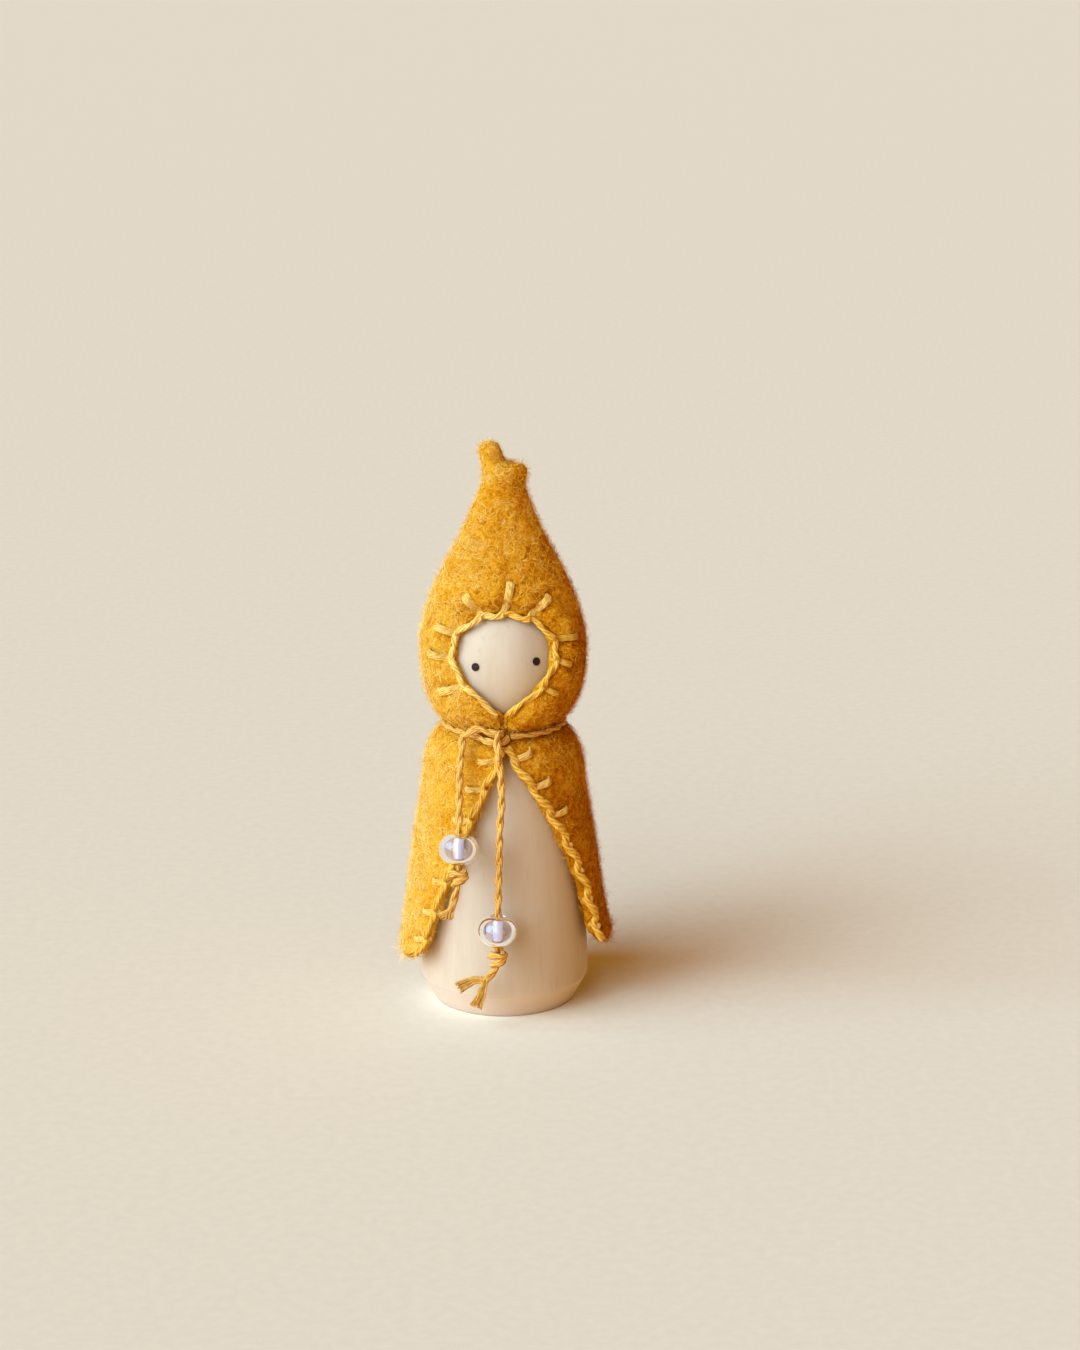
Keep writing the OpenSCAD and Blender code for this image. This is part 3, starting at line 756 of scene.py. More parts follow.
def make_bead(side):
    """A round glass bead with a softened bore, on the axis along which it slides."""
    low, high = box_mm(side + "_bead")
    centre = (low + high) / 2
    axis = next(np.array(j["axis"]) for j in frame["joints"] if j["name"] == side + "_bead_slide")
    a = unit(np.cross(axis, [0, 1, 0]))
    b = np.cross(axis, a)
    profile = bead_profile()
    rows = len(profile)
    turns = np.arange(BEAD_COLS) * 2 * np.pi / BEAD_COLS
    ring = np.cos(turns)[:, None] * a + np.sin(turns)[:, None] * b
    points = np.vstack([centre + r * ring + h * axis for r, h in profile])
    faces = band_faces(rows, BEAD_COLS, closed=True)
    made = new_object(side + "_glass_bead", points, faces, [GLASS, LINING])
    bore = rows - len(LIP_BENDS) - 1
    use_materials(made, np.repeat(np.arange(rows) == bore, BEAD_COLS))
    piece(made, side + "_bead", "bead_glass", side + "_bead")


make_bead("left")
make_bead("right")


# Cords: the two hanging tails, then the ring and the knot at the neck


def plies(pile, path, radius=CORD_LOOK_R, start=0.0):
    """Two ribbed strands twisted round a path."""
    path = resampled(path, CORD_STEP)
    a, b = side_frames(path)
    along = run_lengths(path)
    ply_r = radius * PLY_SHARE
    for k in range(2):
        turn = 2 * np.pi * along / CORD_PITCH + k * np.pi + start
        line = path + (radius - ply_r) * (np.cos(turn)[:, None] * a + np.sin(turn)[:, None] * b)
        radii = ply_r * (1 + PLY_UNEVEN * rough(line, PLY_UNEVEN_SIZE, PLY_SEED + k))
        pile.tube(line, radii, PLY_SIDES, PLY_RIBS, PLY_RIB_RUN)


def end_knot_path(top, run):
    """The cord's way through a double overhand knot, from the bead down."""
    across = unit(np.cross(run, [0, 1, 0]))
    front = np.cross(run, across)
    return top + np.array(END_KNOT) @ np.stack([across, front, run])


def fan(pile, path, spread):
    """A ply that opens out into a flat brush of single yarns."""
    path = resampled(path, FRAY_STEP)
    side = unit(np.cross(np.gradient(path, axis=0), [0, 1, 0]))
    half = FRAY_START + (spread - FRAY_START) * np.linspace(0, 1, len(path)) ** FRAY_OPENS
    for k in range(FRAY_YARNS):
        wide, deep = rng.uniform(-1, 1, 2)
        line = path + (half * wide)[:, None] * side + np.array([0, FRAY_START * deep, 0])
        line = wavered(line, FRAY_WAVER, FRAY_SEED * k)
        keep = int(len(line) * rng.uniform(*FRAY_CUTS))
        pile.tube(line[:keep], FRAY_R * np.linspace(1, FRAY_TAPER, keep), FRAY_SIDES)


def make_tail(side, route, frays, spread):
    """A hanging tail through its bead to its knot, with the frayed end below."""
    route = np.array(route, float)
    knot = end_knot_path(route[-1], unit(route[-1] - route[-2]))
    end = np.mean(frays, axis=0)
    body = np.vstack([resampled(route, ROUTE_STEP)[:-1], knot])
    pile = Pile()
    plies(pile, np.vstack([body, end[0]]))
    for fray in frays:
        fan(pile, np.vstack([(end[0] + knot[-1]) / 2, end[0], fray[1:]]), spread)
    nodes = [side + "_tail_cord", side + "_end_knot", side + "_frayed_end"]
    tail = piece(pile.object(side + "_tail", CORD), side + "_tail", "cord", *nodes)
    path = resampled(np.vstack([body, end]), PATH_STEP)


def make_neck_cord():
    """The ring round the neck, and the knot with its three strands."""
    ring = Pile()
    plies(ring, around(RING_R - RING_SINK, RING_TURNS, NECK_Z), CORD_LOOK_R * RING_SHARE)
    piece(ring.object("neck_ring", CORD), "cloak", "cord", "neck_cord")
    knot = Pile()
    for start, path in KNOT_STRANDS:
        plies(knot, path, start=start)
    piece(knot.object("neck_bow_knot", CORD), "cloak", "cord", "neck_knot")


for tail_side, tail_form in TAILS.items():
    make_tail(tail_side, **tail_form)
make_neck_cord()


# The hood's surface


def hood_radius(z):
    """Radius of the hood's outer face at each height below the blunt peak."""
    z = np.asarray(z, float)
    flare = np.clip((HOOD_WIDE_Z - z) / (HOOD_WIDE_Z - GROOVE_TOP), 0, 1)
    low = GROOVE_R + (HOOD_R - GROOVE_R) * np.sqrt(1 - flare**2)
    c = np.cos(np.pi / 2 * np.clip((z - HOOD_WIDE_Z) / (PEAK_Z - HOOD_WIDE_Z), 0, 1))
    high = PEAK_R + (HOOD_R - PEAK_R) * c * (1 + c) / 2
    return np.where(z <= HOOD_WIDE_Z, low, high)


def brow_in(z):
    """How far the hood's front is pressed back at each height."""
    z = np.asarray(z, float)
    t = np.clip((z - BROW_LOW) / (BROW_HIGH - BROW_LOW), 0, 1)
    back = np.cos(np.pi / 2 * np.clip((z - BROW_HIGH) / (PEAK_Z - BROW_HIGH), 0, 1))
    return BROW_PRESS * t * t * (3 - 2 * t) * back


def frontness(turn):
    """1 at the front, 0 from the sides back."""
    return np.maximum(0, np.cos(np.radians(turn)))


def hood_place(r, turn, z):
    """Points on the hood at a radius, a turn and a height, with the front pressed back."""
    p = around(r, turn, z)
    p[..., 1] += brow_in(z) * frontness(turn)
    return p


def hood_turn(points):
    """The turn of points that lie on the hood."""
    x, y, z = np.moveaxis(np.asarray(points, float), -1, 0)
    r = hood_radius(z)
    depth = np.where(y < 0, r - brow_in(z), r)
    return np.degrees(np.arctan2(x / r, -y / depth))


def hood_normal(turn, z):
    """The direction out of the hood's felt."""

    def at(turn, z):
        return hood_place(hood_radius(z), turn, z)

    round_by = at(turn + NORMAL_TURN, z) - at(turn - NORMAL_TURN, z)
    up_by = at(turn, z + NORMAL_RISE) - at(turn, z - NORMAL_RISE)
    return unit(np.cross(round_by, up_by))


def out_of_hood(points):
    """The direction out of the felt at points that lie on the hood."""
    points = np.asarray(points, float)
    return hood_normal(hood_turn(points), points[..., 2])


def slit_turn(z, grow):
    """Half angle of the slit under the chin."""
    return np.degrees((grow * SLIT_SHARE + SLIT_GAP) / hood_radius(z))


def opening_z(w, grow=0.0):
    """Height on the opening's outline: -1 at its point, 0 at its widest, 1 at its top."""
    w = np.asarray(w, float)
    low = OPENING_WIDE + w * (OPENING_WIDE - OPENING_LOW + grow)
    high = OPENING_WIDE + np.sin(np.pi / 2 * np.clip(w, 0, 1)) * (OPENING_TOP + grow - OPENING_WIDE)
    return np.where(w < 0, low, high)


def opening_turn(w, grow=0.0):
    """Half angle of the opening at a place on its outline."""
    w = np.asarray(w, float)
    z = opening_z(w, grow)
    wide = OPENING_ANGLE + np.degrees(grow / hood_radius(z))
    low = wide * (1 - np.abs(np.clip(w, -1, 0)) ** OPENING_POINT_SHARE)
    high = wide * np.cos(np.pi / 2 * np.clip(w, 0, 1))
    return np.maximum(np.where(w < 0, low, high), np.where(w < 0, slit_turn(z, grow), 0))


def opening_distance(turn, z, r):
    """About how far along the felt a point lies from the opening's edge."""
    arc = r * np.radians(turn)
    places = np.linspace(-1, 1, OPENING_PLACES)
    heights = opening_z(places)
    arcs = hood_radius(heights) * np.radians(opening_turn(places))
    gap = np.full(np.shape(arc), FAR)
    for a, h in zip(arcs, heights):
        gap = np.minimum(gap, np.hypot(np.abs(arc) - a, z - h))
    return gap


def signed_turn(turn):
    return (np.asarray(turn, float) + 180) % 360 - 180


def laid_flat(radius, turn, z):
    """A point on the felt as arc and height."""
    return np.array([radius(z) * math.radians(turn), z])


def bar_distance(arc, z, bars, reach):
    """Distance on the flat felt from the nearest of some bars, up to a reach along them."""
    best = np.full(np.shape(arc), FAR)
    for a, b in bars:
        ab = b - a
        share = np.clip(((arc - a[0]) * ab[0] + (z - a[1]) * ab[1]) / (ab @ ab), 0, reach)
        best = np.minimum(best, np.hypot(arc - a[0] - share * ab[0], z - a[1] - share * ab[1]))
    return best


HOOD_BARS_FLAT = [
    [laid_flat(hood_radius, turn, HEAD_Z + rise) for turn, rise in (bar[:2], bar[2:])] for bar in HOOD_BARS
]


def edge_tuck(turn, z, edge):
    """How far the felt is drawn in near the opening, where its edge lies against the face."""
    head = np.sqrt(np.maximum(0, (HEAD_D / 2) ** 2 - (np.asarray(z, float) - HEAD_Z) ** 2))
    front = hood_radius(z) - brow_in(z) * frontness(turn)
    return np.clip(front - head - FACE_GAP, TUCK_LEAST, TUCK_MOST) * bell(edge, TUCK_W)


def hood_full(turn, z, worked=True):
    """Radius of the outer felt, drawn in at the opening, with a dip at each stitch and swells between."""
    r = hood_radius(z)
    t = signed_turn(turn)
    edge = opening_distance(t, z, r)
    full = r - FUZZ_INSET + WOBBLE * rough(around(r, turn, z), WOBBLE_SIZE, HOOD_WOBBLE_SEED)
    full = full - edge_tuck(t, z, edge)
    if worked:
        near = bar_distance(r * np.radians(t), z, HOOD_BARS_FLAT, BAR_DENTS_TO)
        puff = PUFF * bell(edge - PUFF_AT, PUFF_W) * (1 - bell(near, PUFF_CLEAR))
        full = full - DENT * bell(near, DENT_W) + puff
    return full


def hood_point(turn, z, lift=0.0, worked=True):
    """Points on the hood's outer face, or lifted off it."""
    return hood_place(hood_full(turn, z, worked), turn, z) + lift * hood_normal(turn, z)


# The cape's surface


def cape_edge_turn(s, side):
    """Turn of a front edge at a share of the cape's fall."""
    angle, bow = CAPE_EDGES[side]
    return np.maximum(CAPE_EDGE_LEAST, angle * (s + bow * np.sin(np.pi * s)))


def cape_height(s, turn):
    """Height at a share of the cape's fall."""
    return GROOVE_LOW + s * (HEM_Z + HEM_TILT * np.sin(np.radians(turn)) - GROOVE_LOW)


def cape_radius(z):
    """Radius of the cape's outer face at each height."""
    z = np.asarray(z, float)
    s = np.clip((GROOVE_LOW - z) / (GROOVE_LOW - SHOULDER_Z), 0, 1)
    top = GROOVE_R + (CAPE_TOP_R - GROOVE_R) * np.sqrt(1 - (1 - s) ** 2)
    fall = CAPE_TOP_R + (HEM_R - CAPE_TOP_R) * (SHOULDER_Z - z) / (SHOULDER_Z - HEM_Z)
    return np.where(z >= SHOULDER_Z, top, fall)


def cape_bar_ends(share, side):
    """Turn and height of a cape stitch at the edge and at its far end."""
    shares = share + CAPE_EDGE_STEP * np.array([-1, 0, 1])
    turns = side * cape_edge_turn(shares, side)
    heights = cape_height(shares, turns)
    r = cape_radius(heights[1])
    run = unit(np.array([r * math.radians(turns[2] - turns[0]), heights[2] - heights[0]]))
    out = unit(side * np.array([-run[1], run[0]]) + np.array([0, BAR_LEANS[side]]))
    long = 1 if share < LONG_BARS_TO else LOW_BAR_SHARES[side]
    far = np.array([r * math.radians(turns[1]), heights[1]]) + CAPE_BAR_LEN * long * out
    return (turns[1], heights[1]), (math.degrees(far[0] / cape_radius(far[1])), far[1])


CAPE_BARS_FLAT = [
    [laid_flat(cape_radius, *end) for end in cape_bar_ends(share, side)]
    for side in (1, -1)
    for share in CAPE_BAR_SHARES
]


def cape_bar_distance(turn, z):
    """Distance along the felt from the nearest stitch bar on the cape."""
    return bar_distance(cape_radius(z) * np.radians(signed_turn(turn)), z, CAPE_BARS_FLAT, 1)


def cape_point(turn, z, lift=0.0):
    """Points on the cape's outer face, with dips at its stitches and a little slack lower down."""
    r = cape_radius(z)
    fall = np.clip((SHOULDER_Z - z) / (SHOULDER_Z - HEM_Z), 0, 1)
    slack = WOBBLE * (SLACK_LEAST + fall) * rough(around(r, turn, z), WOBBLE_SIZE, CAPE_WOBBLE_SEED)
    for place, width, reach, power in FLARES:
        slack = slack + reach * fall**power * bell(signed_turn(turn - place), width)
    dent = CAPE_DENT * bell(cape_bar_distance(turn, z), DENT_W)
    return around(r - FUZZ_INSET + slack - dent + lift, turn, z)


# Felt shells


def cut_loop(cols, top, tipped):
    """Rows and columns round the cut edge of a shell, in order."""
    loop = [(j, 0) for j in range(top + 1)]
    if not tipped:
        loop += [(top, i) for i in range(1, cols)]
    loop += [(j, cols) for j in range(top - 1 if tipped else top, -1, -1)]
    return loop + [(0, i) for i in range(cols - 1, 0, -1)]


def beside_cut(outer, loop, top, tipped):
    """The point of the outer face beside each point of the cut edge."""
    rows, cols = outer.shape[0], outer.shape[1] - 1
    beside = []
    for j, i in loop:
        if tipped and j == top:
            beside.append(outer[j + 1, 0])
            continue
        row = 1 if j == 0 else rows - 2 if j == rows - 1 else j
        col = 1 if i == 0 else cols - 1 if i == cols else i
        beside.append(outer[row, col])
    return np.array(beside)


def felt_shell(outer, inner, joined, tips):
    """Points and faces of a felt shell, open at the front up to row joined, and its rounded cut edge."""
    rows, cols = outer.shape[0], outer.shape[1] - 1
    deep = inner.shape[0]
    start = rows * (cols + 1)
    tipped = len(tips) > 0

    def o(j, i):
        return j * (cols + 1) + (0 if j >= joined and i == cols else i)

    def n(j, i):
        return start + o(j, i)

    faces = []
    for j in range(rows - 1):
        faces += [(o(j, i), o(j, i + 1), o(j + 1, i + 1), o(j + 1, i)) for i in range(cols)]
    for j in range(deep - 1):
        faces += [(n(j, i), n(j + 1, i), n(j + 1, i + 1), n(j, i + 1)) for i in range(cols)]
    points = np.vstack([outer.reshape(-1, 3), inner.reshape(-1, 3), np.reshape(tips, (-1, 3))])
    if tipped:
        tip = start + deep * (cols + 1)
        faces += [(o(rows - 1, i), o(rows - 1, i + 1), tip) for i in range(cols)]
        faces += [(n(deep - 1, i + 1), n(deep - 1, i), tip + 1) for i in range(cols)]
    top = min(joined, rows - 1)
    loop = cut_loop(cols, top, tipped)
    out_edge = np.array([outer[j, i] for j, i in loop])
    in_edge = np.array([inner[j, i] for j, i in loop])
    out = unit(out_edge - beside_cut(outer, loop, top, tipped))
    middle, half = (out_edge + in_edge) / 2, (out_edge - in_edge) / 2
    swing = np.pi * np.arange(1, EDGE_STEPS) / EDGE_STEPS
    rim = np.stack([middle + np.cos(a) * half + EDGE_ROUND * np.sin(a) * out for a in swing])
    first, count = len(points), len(loop)
    points = np.vstack([points, rim.reshape(-1, 3)])
    strips = [[o(j, i) for j, i in loop]]
    strips += [[first + k * count + q for q in range(count)] for k in range(EDGE_STEPS - 1)]
    strips += [[n(j, i) for j, i in loop]]
    for a, b in zip(strips, strips[1:]):
        faces += [(a[q], b[q], b[(q + 1) % count], a[(q + 1) % count]) for q in range(count)]
    return points, faces, np.concatenate([out_edge[None], rim])


def felt_object(name, points, faces, lump_seed):
    """The felt shell as a mesh, with the small lumps of matted wool pushed along its normals."""
    made = new_object("felt_" + name, points, faces, [FELT])
    mesh = made.data
    normals = np.zeros(len(mesh.vertices) * 3, np.float32)
    mesh.vertex_normals.foreach_get("vector", normals)
    lump = LUMPS * rough(points, LUMP_SIZE, lump_seed)
    lump = lump + FINE_LUMPS * rough(points, FINE_LUMP_SIZE, lump_seed)
    moved = points + lump[:, None] * normals.reshape(-1, 3)
    mesh.vertices.foreach_set("co", (moved * MM).astype(np.float32).ravel())
    mesh.update()
    return piece(made, "cloak", "felt", name)


def peak_rings(share):
    """Rings of the blunt peak and its nub."""
    shares = np.array(PEAK_SHARES)
    at = np.sin(np.linspace(0, 1, PEAK_ROWS)[1:] * np.pi / 2) ** PEAK_CROWD
    ring_r = np.interp(at, shares[:, 0], shares[:, 1]) * PEAK_R
    shift = np.interp(at, shares[:, 0], shares[:, 2]) * PEAK_R
    peak = around(ring_r[:, None], 360 * share[None, :], (PEAK_Z + PEAK_LEN * at)[:, None])
    return peak + np.stack([shift, 0 * shift, 0 * shift], axis=1)[:, None]


def hood_grids():
    """Rings of the hood's outer and inner faces, from the neck to the peak."""
    grow = EDGE_ROUND
    low = np.linspace(NECK_Z, OPENING_LOW - grow, LOW_ROWS, endpoint=False)
    w = np.concatenate([np.linspace(-1, 0, OPENING_ROWS), np.linspace(0, 1, OPENING_ROWS)[1:]])
    open_z = np.concatenate([low, opening_z(w, grow)])
    open_turn = np.concatenate([slit_turn(low, grow), opening_turn(w, grow)])
    cone_z = np.linspace(OPENING_TOP + grow, PEAK_Z, CONE_ROWS)[1:]
    z = np.concatenate([open_z, cone_z])
    half = np.concatenate([open_turn, np.zeros(len(cone_z))])[:, None]
    share = np.linspace(0, 1, FELT_COLS + 1)
    turns = half + share * (360 - 2 * half)
    heights = np.broadcast_to(z[:, None], turns.shape)
    full = hood_full(turns, heights)
    outer = np.concatenate([hood_place(full, turns, heights), peak_rings(share)])
    deep = len(open_z) + HOLLOW_ROWS
    inner_r = np.minimum(hood_radius(heights) - FELT_T, full - EDGE_T)
    inner = hood_place(inner_r, turns, heights)[:deep]
    tips = [(PEAK_SHARES[-1][2] * PEAK_R, 0, TIP_Z + TIP_RISE), (0, 0, z[deep - 1] + HOLLOW_RISE)]
    return outer, inner, len(open_z) - 1, tips


def cape_grids():
    """Rings of the cape's outer and inner faces, from the hem to the neck."""
    s = np.concatenate([np.linspace(1, TOP_SHARE, FALL_ROWS), np.linspace(TOP_SHARE, 0, TOP_ROWS)[1:]])
    right, left = cape_edge_turn(s, 1)[:, None], cape_edge_turn(s, -1)[:, None]
    turns = right + np.linspace(0, 1, FELT_COLS + 1) * (360 - left - right)
    edge = np.minimum(turns - right, 360 - left - turns)
    lift = CORNER_H * np.maximum(0, 1 - edge / CORNER_TURN) ** 2 * np.maximum(0, 2 * s - 1)[:, None]
    outer = cape_point(turns, cape_height(s[:, None], turns) + lift)
    inner = outer - FELT_T * outward(outer)
    neck = np.broadcast_to(NECK_Z - TURN_IN, turns[-1:].shape)
    outer = np.concatenate([outer, around(GROOVE_R, turns[-1:], neck)])
    inner = np.concatenate([inner, around(GROOVE_R - FELT_T, turns[-1:], neck)])
    return outer, inner, len(outer), []


# Loose wool fibres

# Shares of the wools, from brown to pale
FIBRE_SHARES = [0.27, 0.27, 0.3, 0.16]
HALO_SHARES = [0.1, 0.27, 0.45, 0.18]
# Layers of fibre: number for each square millimetre, length, rise off the felt, width, curl,
# segments, how much painted shade they take in creases, and shares of the wools
FUZZ_LAYERS = {
    "fibres": (7, 2.2, 0.1, 0.043, 0.7, 6, 0.7, FIBRE_SHARES),
    "halo": (12, 0.95, 1.3, 0.026, 0.9, 4, 0.3, HALO_SHARES),
    "wisps": (3, 1.9, 0.75, 0.018, 1.1, 7, 0, HALO_SHARES),
}
# Fibres start a little off the felt, and none start so near a stitch
FIBRE_LIFT = 0.04
BARE_W = 0.5
# How fibres differ in length, in how they stand, in tilt and in width
FIBRE_LENGTHS = (0.5, 1.3)
FIBRE_RISES = (0.3, 1)
FIBRE_TILT = 1.1
FIBRE_WIDTHS = (0.7, 1.3)
# A fibre is no longer than this share of the felt's radius, which counts as at least so much
FIBRE_ARC = 0.5
FIBRE_LEAST_R = 1.2
# How a fibre waves, sinks back and thins towards its ends
FIBRE_WAVE = 0.4
FIBRE_WAVES = 1.2
FIBRE_SINKS = 0.5
FIBRE_THINS = 0.7
THIN_POWER = 3
# The wool's tone changes in patches of these sizes and weights, and from fibre to fibre
TONE_SIZES = [(0.5, 1), (1.7, 0.7)]
TONE_SEED = 6.3
TONE_SPREAD = 0.12
# Painted shade darkens the wool by the stitches, over this width,
CREASE_SHADE_W = 1.4
# and painted shade darkens the wool by the cord at the neck, over this width and by so much more
NECK_SHADE_W = 1.7
NECK_SHADE = 1.2


def scattered(grids, density):
    """Random points and outward directions on grids of points, so many for each square millimetre."""
    points, normals = [], []
    for grid in grids:
        a, b, c, d = grid[:-1, :-1], grid[:-1, 1:], grid[1:, 1:], grid[1:, :-1]
        cross = np.cross(c - a, d - b).reshape(-1, 3)
        area = np.linalg.norm(cross, axis=1) / 2
        picked = rng.choice(len(area), int(area.sum() * density), p=area / area.sum())
        u, v = rng.random((2, len(picked), 1))
        a, b, c, d = (x.reshape(-1, 3)[picked] for x in (a, b, c, d))
        points.append((a * (1 - u) + b * u) * (1 - v) + (d * (1 - u) + c * u) * v)
        normals.append(unit(cross[picked]))
    return np.vstack(points), np.vstack(normals)


def fibre_lines(points, normals, room, length, stand, curl, segments):
    """Lines of curled fibres, no longer than their room, and the direction that each fibre faces."""
    count = len(points)
    radius = np.maximum(np.hypot(points[:, 0], points[:, 1]), FIBRE_LEAST_R)
    longest = np.minimum(FIBRE_ARC * radius, room)
    length = np.minimum(length * rng.uniform(*FIBRE_LENGTHS, count), longest)
    t = unit(np.cross(normals, rng.normal(size=(count, 3))))
    b = np.cross(normals, t)
    heading = rng.uniform(0, 2 * np.pi, count)
    bend = rng.normal(0, curl, count)
    phase = rng.uniform(0, 2 * np.pi, count)
    rise = stand * rng.uniform(*FIBRE_RISES, count)
    tilt = rng.uniform(-FIBRE_TILT, FIBRE_TILT, count)
    step = length / segments
    at, line = points.copy(), []
    for k in range(segments + 1):
        share = k / segments
        turn = heading + bend * share + FIBRE_WAVE * np.sin(2 * np.pi * share * FIBRE_WAVES + phase)
        flat = np.cos(turn)[:, None] * t + np.sin(turn)[:, None] * b
        up = np.sin(rise * (1 - FIBRE_SINKS * share)) - step * share * segments / (2 * radius)
        line.append(at)
        at = at + step[:, None] * unit(flat + up[:, None] * normals)
    return np.stack(line, axis=1), np.cos(tilt)[:, None] * normals + np.sin(tilt)[:, None] * b


def fibre_tones(points, crease_shade, darker, shares):
    """Which wool each fibre is of: random patches, with painted shade in creases and by the neck, painted
    light paler towards the left and darker to the right, and a painted highlight at the tip.
    """
    mood = sum(share * rough(points, size, TONE_SEED) for size, share in TONE_SIZES) - darker * crease_shade
    # Painted light: fibres paler towards the lit left and darker towards the shaded right
    mood = mood - FIBRE_LIGHT_GRADIENT * points[:, 0] / HOOD_R + rng.normal(0, TONE_SPREAD, len(points))
    # Painted highlight: fibres paler towards the tip of the hood
    mood = mood + TIP_HIGHLIGHT * np.clip((points[:, 2] - PEAK_Z) / PEAK_LEN, 0, 1)
    limits = np.quantile(mood, np.cumsum(shares)[:-1])
    return np.searchsorted(limits, mood)


def fuzz(name, points, normals, crease_shade, room, length, stand, width, curl, segments, darker, shares):
    """Short curled ribbons of fibre that lie along a surface or stand up from it."""
    count = len(points)
    line, face = fibre_lines(points, normals, room, length, stand, curl, segments)
    across = unit(np.cross(unit(np.gradient(line, axis=1)), face[:, None]))
    thin = 1 - FIBRE_THINS * np.abs(np.linspace(-1, 1, segments + 1)) ** THIN_POWER
    half = (width / 2 * rng.uniform(*FIBRE_WIDTHS, count))[:, None, None] * thin[None, :, None]
    pair = np.stack([line - across * half, line + across * half], axis=2)
    base = (np.arange(count) * 2 * (segments + 1))[:, None] + 2 * np.arange(segments)[None]
    quads = np.stack([base, base + 1, base + 3, base + 2], axis=2).reshape(-1, 4)
    made = new_object(name, pair.reshape(-1, 3), quads.tolist(), FIBRES)
    use_materials(made, np.repeat(fibre_tones(points, crease_shade, darker, shares), segments))
    return made


def dress_felt(name, face, rim, stitch_distance):
    """Layers of fibre on the felt, from matted to standing off it, with the stitches left bare."""
    for layer, (density, *form) in FUZZ_LAYERS.items():
        grids = [face] if layer == "wisps" else [face, rim]
        points, normals = scattered(grids, density)
        near = stitch_distance(points)
        clear = near > BARE_W
        near, normals = near[clear], normals[clear]
        points = points[clear] + FIBRE_LIFT * normals
        # Painted shade: darker wool by the stitches and by the cord at the neck
        neck = NECK_SHADE * bell(points[:, 2] - NECK_Z, NECK_SHADE_W)
        crease_shade = np.maximum(bell(near, CREASE_SHADE_W), neck)
        piece(fuzz(name + "_" + layer, points, normals, crease_shade, near, *form), "cloak", "felt")


def from_hood_stitches(points):
    """Distance of points on the hood from its stitches."""
    turn, z = hood_turn(points), points[:, 2]
    r = hood_radius(z)
    bars = bar_distance(r * np.radians(turn), z, HOOD_BARS_FLAT, BAR_SHOWS_TO)
    return np.minimum(bars, opening_distance(turn, z, r))


def from_cape_stitches(points):
    """Distance of points on the cape from its stitch bars."""
    turn = np.degrees(np.arctan2(points[:, 0], -points[:, 1]))
    return cape_bar_distance(turn, points[:, 2])


def sheet_area(grid):
    """Area of a grid of points, in square metres."""
    cross = np.cross(grid[1:, 1:] - grid[:-1, :-1], grid[1:, :-1] - grid[:-1, 1:])
    return float(np.linalg.norm(cross, axis=-1).sum() / 2) * MM**2


def make_felt(name, shape, lump_seed, stitch_distance):
    """A sheet of felt with its fibres, and the area of its outer face."""
    points, faces, rim = felt_shell(*shape)
    made = felt_object(name, points, faces, lump_seed)
    dress_felt(name, shape[0], rim, stitch_distance)
    return made, sheet_area(shape[0])


hood, hood_area = make_felt("hood", hood_grids(), HOOD_LUMP_SEED, from_hood_stitches)
cape, cape_area = make_felt("cape", cape_grids(), CAPE_LUMP_SEED, from_cape_stitches)


# Stitching. A run is a place on the opening's outline: from -1 at its point, up the right side
# to 1 at its top, and down the left side to 3


def floss(pile, path, normals, strands, width, twist, ends, radius=FLOSS_R, tone=0):
    """Strands of floss side by side along a path, flat against the felt."""
    path, normals = np.asarray(path, float), unit(np.asarray(normals, float))
    across = unit(np.cross(normals, unit(np.gradient(path, axis=0))))
    share = np.linspace(0, 1, len(path))
    half = (width / 2 - radius) * (ends[0] + (ends[1] - ends[0]) * share)[:, None]
    for k in range(strands):
        place = (k + 0.5) / strands * 2 - 1
        turn = np.arcsin(place) + twist * share + rng.normal(0, FLOSS_TURNS)
        off = np.sin(turn)[:, None] * across + FLOSS_DEPTH * np.cos(turn)[:, None] * normals
        line = wavered(path + half * off, FLOSS_WAVER, FLOSS_SEED * k)
        pile.tube(line, radius * rng.uniform(*FLOSS_THICK), FLOSS_SIDES, FLOSS_RIBS, FLOSS_RIB_RUN, tone)


def loop_lifts(share, least):
    """How far a loop stands off the felt, most of all in its middle."""
    return least + LOOP_RISE * np.sin(np.pi * np.clip(share, 0, 1))


def hood_outline(run, off, lift):
    """A point by the opening's edge, so far onto the felt and so far off it."""
    side, w = (-1, 2 - run) if run > 1 else (1, run)
    return hood_point(side * opening_turn(w, off), opening_z(w, off), lift, worked=False)


def edge_run(bar):
    """The run at which the line of a stitch bar meets the opening's outline."""
    turn_a, rise_a, turn_b, rise_b = bar
    turn = (turn_a + (turn_b - turn_a) * BAR_LINE)[:, None]
    z = (HEAD_Z + rise_a + (rise_b - rise_a) * BAR_LINE)[:, None]
    edge_z, edge_turn = opening_z(MEETING_PLACES), opening_turn(MEETING_PLACES)
    gap = np.hypot(hood_radius(edge_z) * np.radians(edge_turn - np.abs(turn)), edge_z - z)
    w = float(MEETING_PLACES[gap.min(axis=0).argmin()])
    return w if turn_b > 0 else 2 - w


def hood_bar_path(bar):
    """A stitch bar: up out of the felt, along it and down at the edge of the opening."""
    turn_a, rise_a, turn_b, rise_b = bar
    path = []
    for share, lift in HOOD_BAR_WAY:
        z = HEAD_Z + rise_a + (rise_b - rise_a) * share
        path.append(hood_point(turn_a + (turn_b - turn_a) * share, z, lift))
    path += [hood_outline(edge_run(bar), off, lift) for off, lift in HOOD_BAR_END]
    return smooth_between(path, BAR_POINTS)


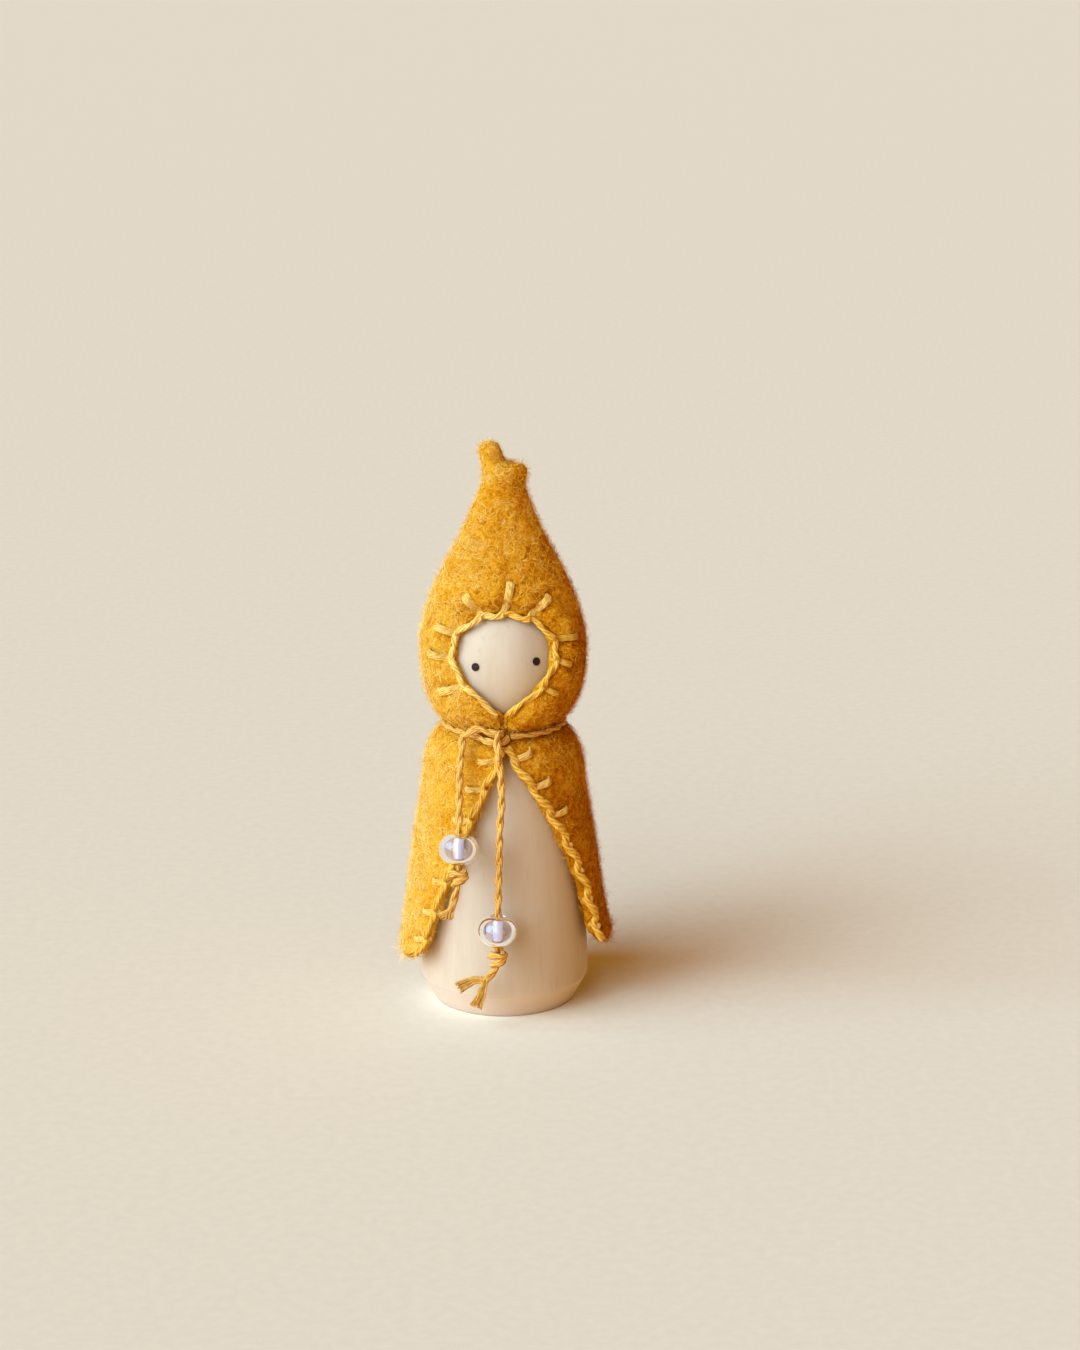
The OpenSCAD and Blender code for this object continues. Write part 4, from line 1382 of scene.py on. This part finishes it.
def hood_loop_path(run_a, run_b):
    """A loop along the opening's edge from one bar to the next, pulled a little straight."""
    share = np.linspace(*HOOD_LOOP_SPAN, LOOP_PLACES)
    runs = run_a + (run_b - run_a) * share
    lifts = loop_lifts(share, HOOD_LOOP_LIFT)
    path = np.array([hood_outline(run, LOOP_OFF, lift) for run, lift in zip(runs, lifts)])
    chord = path[1] + (path[-2] - path[1]) * np.clip(share, 0, 1)[:, None]
    taut = chord + TAUT_LIFT * out_of_hood(chord)
    return smooth_between((1 - TAUT_SHARE) * path + TAUT_SHARE * taut, HOOD_LOOP_POINTS)


def stitch_hood():
    """Bars round the face opening, and the loops that run from each to the next along the edge."""
    pile = Pile()
    runs = [SLIT_RUN]
    for bar in HOOD_BARS:
        path = hood_bar_path(bar)
        form = SLIM_BAR if bar[0] > SLIM_FROM else HOOD_BAR
        floss(pile, path, out_of_hood(path), *form)
        runs.append(edge_run(bar))
    runs.append(2 - SLIT_RUN)
    for run_a, run_b in zip(runs, runs[1:]):
        path = hood_loop_path(run_a, run_b)
        # Loops on the shaded right side of the opening take the floss with painted shade
        floss(pile, path, out_of_hood(path), *HOOD_LOOP, tone=int(run_b <= 1))
    piece(pile.object("hood_floss", FLOSS, SHADED_FLOSS), "cloak", "floss", "hood_stitching")


def cape_bar_path(share, side):
    """A stitch bar on the cape: up out of the felt by the edge, along it and in again."""
    (turn_a, z_a), (turn_b, z_b) = cape_bar_ends(share, side)
    lean = rng.normal(0, LEAN_SPREAD)
    path = []
    for k, lift in CAPE_BAR_WAY:
        path.append(cape_point(turn_a + (turn_b - turn_a) * k, z_a + (z_b - z_a) * k + lean * k, lift))
    return smooth_between(path, BAR_POINTS)


def cape_edge_path(shares, side, lifts, count):
    """So many points along a front edge of the cape, lifted off the felt."""
    path = []
    for s, lift in zip(shares, lifts):
        turn = side * cape_edge_turn(s, side)
        path.append(cape_point(turn, cape_height(s, turn), lift))
    return smooth_between(path, count)


def stitch_cape(name, side):
    """Bars down one front edge of the cape, and along it a rope on the right or loops on the left."""
    pile = Pile()
    for share in CAPE_BAR_SHARES:
        path = cape_bar_path(share, side)
        floss(pile, path, outward(path), *CAPE_BAR)
    top, low = CAPE_ENDS
    if side > 0:
        places = np.linspace(top, low, ROPE_PLACES)
        path = cape_edge_path(places, side, [ROPE_LIFT] * ROPE_PLACES, ROPE_POINTS)
        floss(pile, path, outward(path), *CAPE_ROPE)
    else:
        share = np.linspace(*CAPE_LOOP_SPAN, LOOP_PLACES)
        lifts = loop_lifts(share, CAPE_LOOP_LIFT)
        for a, b in zip([top, *CAPE_BAR_SHARES], [*CAPE_BAR_SHARES, low]):
            path = cape_edge_path(a + (b - a) * share, side, lifts, CAPE_LOOP_POINTS)
            floss(pile, path, outward(path), *CAPE_LOOP)
    made = pile.object(name + "_cape_floss", FLOSS, SHADED_FLOSS)
    piece(made, "cloak", "floss", name + "_cape_stitching")


stitch_hood()
stitch_cape("left", -1)
stitch_cape("right", 1)


# Wood and paint on the imported nodes

for node, material in (("peg_body", WOOD), ("left_eye", PAINT), ("right_eye", PAINT)):
    node_materials = frame["nodes"][node].data.materials
    node_materials.clear()
    node_materials.append(material)


# Floor and light

FLOOR_HALF = 4000
# The floor's colour as it is seen, its darkest share of that, and the colour that it throws back
FLOOR_COLOUR = (0.912, 0.92, 0.795)
FLOOR_DARK = 0.95
BOUNCE_COLOUR = (0.90, 0.58, 0.25, 1)
# Soft suns: turn and height in degrees, strength, colour and spread
SUNS = {
    "key": (-64, 31, 2.5, (0.62, 0.86, 1.04), 50),
    "front": (-38, 28, 2.1, (0.83, 0.87, 0.93), 55),
}
FILL_COLOUR = (0.34, 0.14, 0.015, 1)
SEEN_COLOUR = (0.80, 0.74, 0.65, 1)


def make_floor():
    """A wide floor of cream paper."""
    corners = [(x * FLOOR_HALF, y * FLOOR_HALF, 0) for x, y in ((-1, -1), (1, -1), (1, 1), (-1, 1))]
    f = Finish("cream_paper", Roughness=0.9, Specular_IOR_Level=0.1)
    paper = f.speckle((700, 700, 700), detail=3, rough=0.6)
    dark = tuple(c * FLOOR_DARK for c in FLOOR_COLOUR)
    f.colour(f.mix(f.seen(), BOUNCE_COLOUR, f.ramp(paper, [(0.3, dark), (0.7, FLOOR_COLOUR)])))
    f.bump(paper, 0.05, 0.3)
    new_object("floor", corners, [(0, 1, 2, 3)], [f.material])


def make_light():
    """Soft suns from the left and front, and a warm even fill that glass and gloss see as a pale room."""
    for name, (turn, height, strength, colour, spread) in SUNS.items():
        data = bpy.data.lights.new(name, "SUN")
        data.energy = strength
        data.color = colour
        data.angle = math.radians(spread)
        sun = bpy.data.objects.new(name, data)
        bpy.context.scene.collection.objects.link(sun)
        towards = around(math.cos(math.radians(height)), turn, math.sin(math.radians(height)))
        sun.rotation_euler = Vector(towards).to_track_quat("Z", "Y").to_euler()
    world = bpy.data.worlds.new("room")
    bpy.context.scene.world = world
    world.use_nodes = True
    nodes = Nodes(world.node_tree)
    room = nodes.mix(nodes.seen(), FILL_COLOUR, SEEN_COLOUR)
    nodes.feed(world.node_tree.nodes["Background"].inputs["Color"], room)


make_floor()
make_light()
bpy.context.scene.view_settings.view_transform = "Standard"
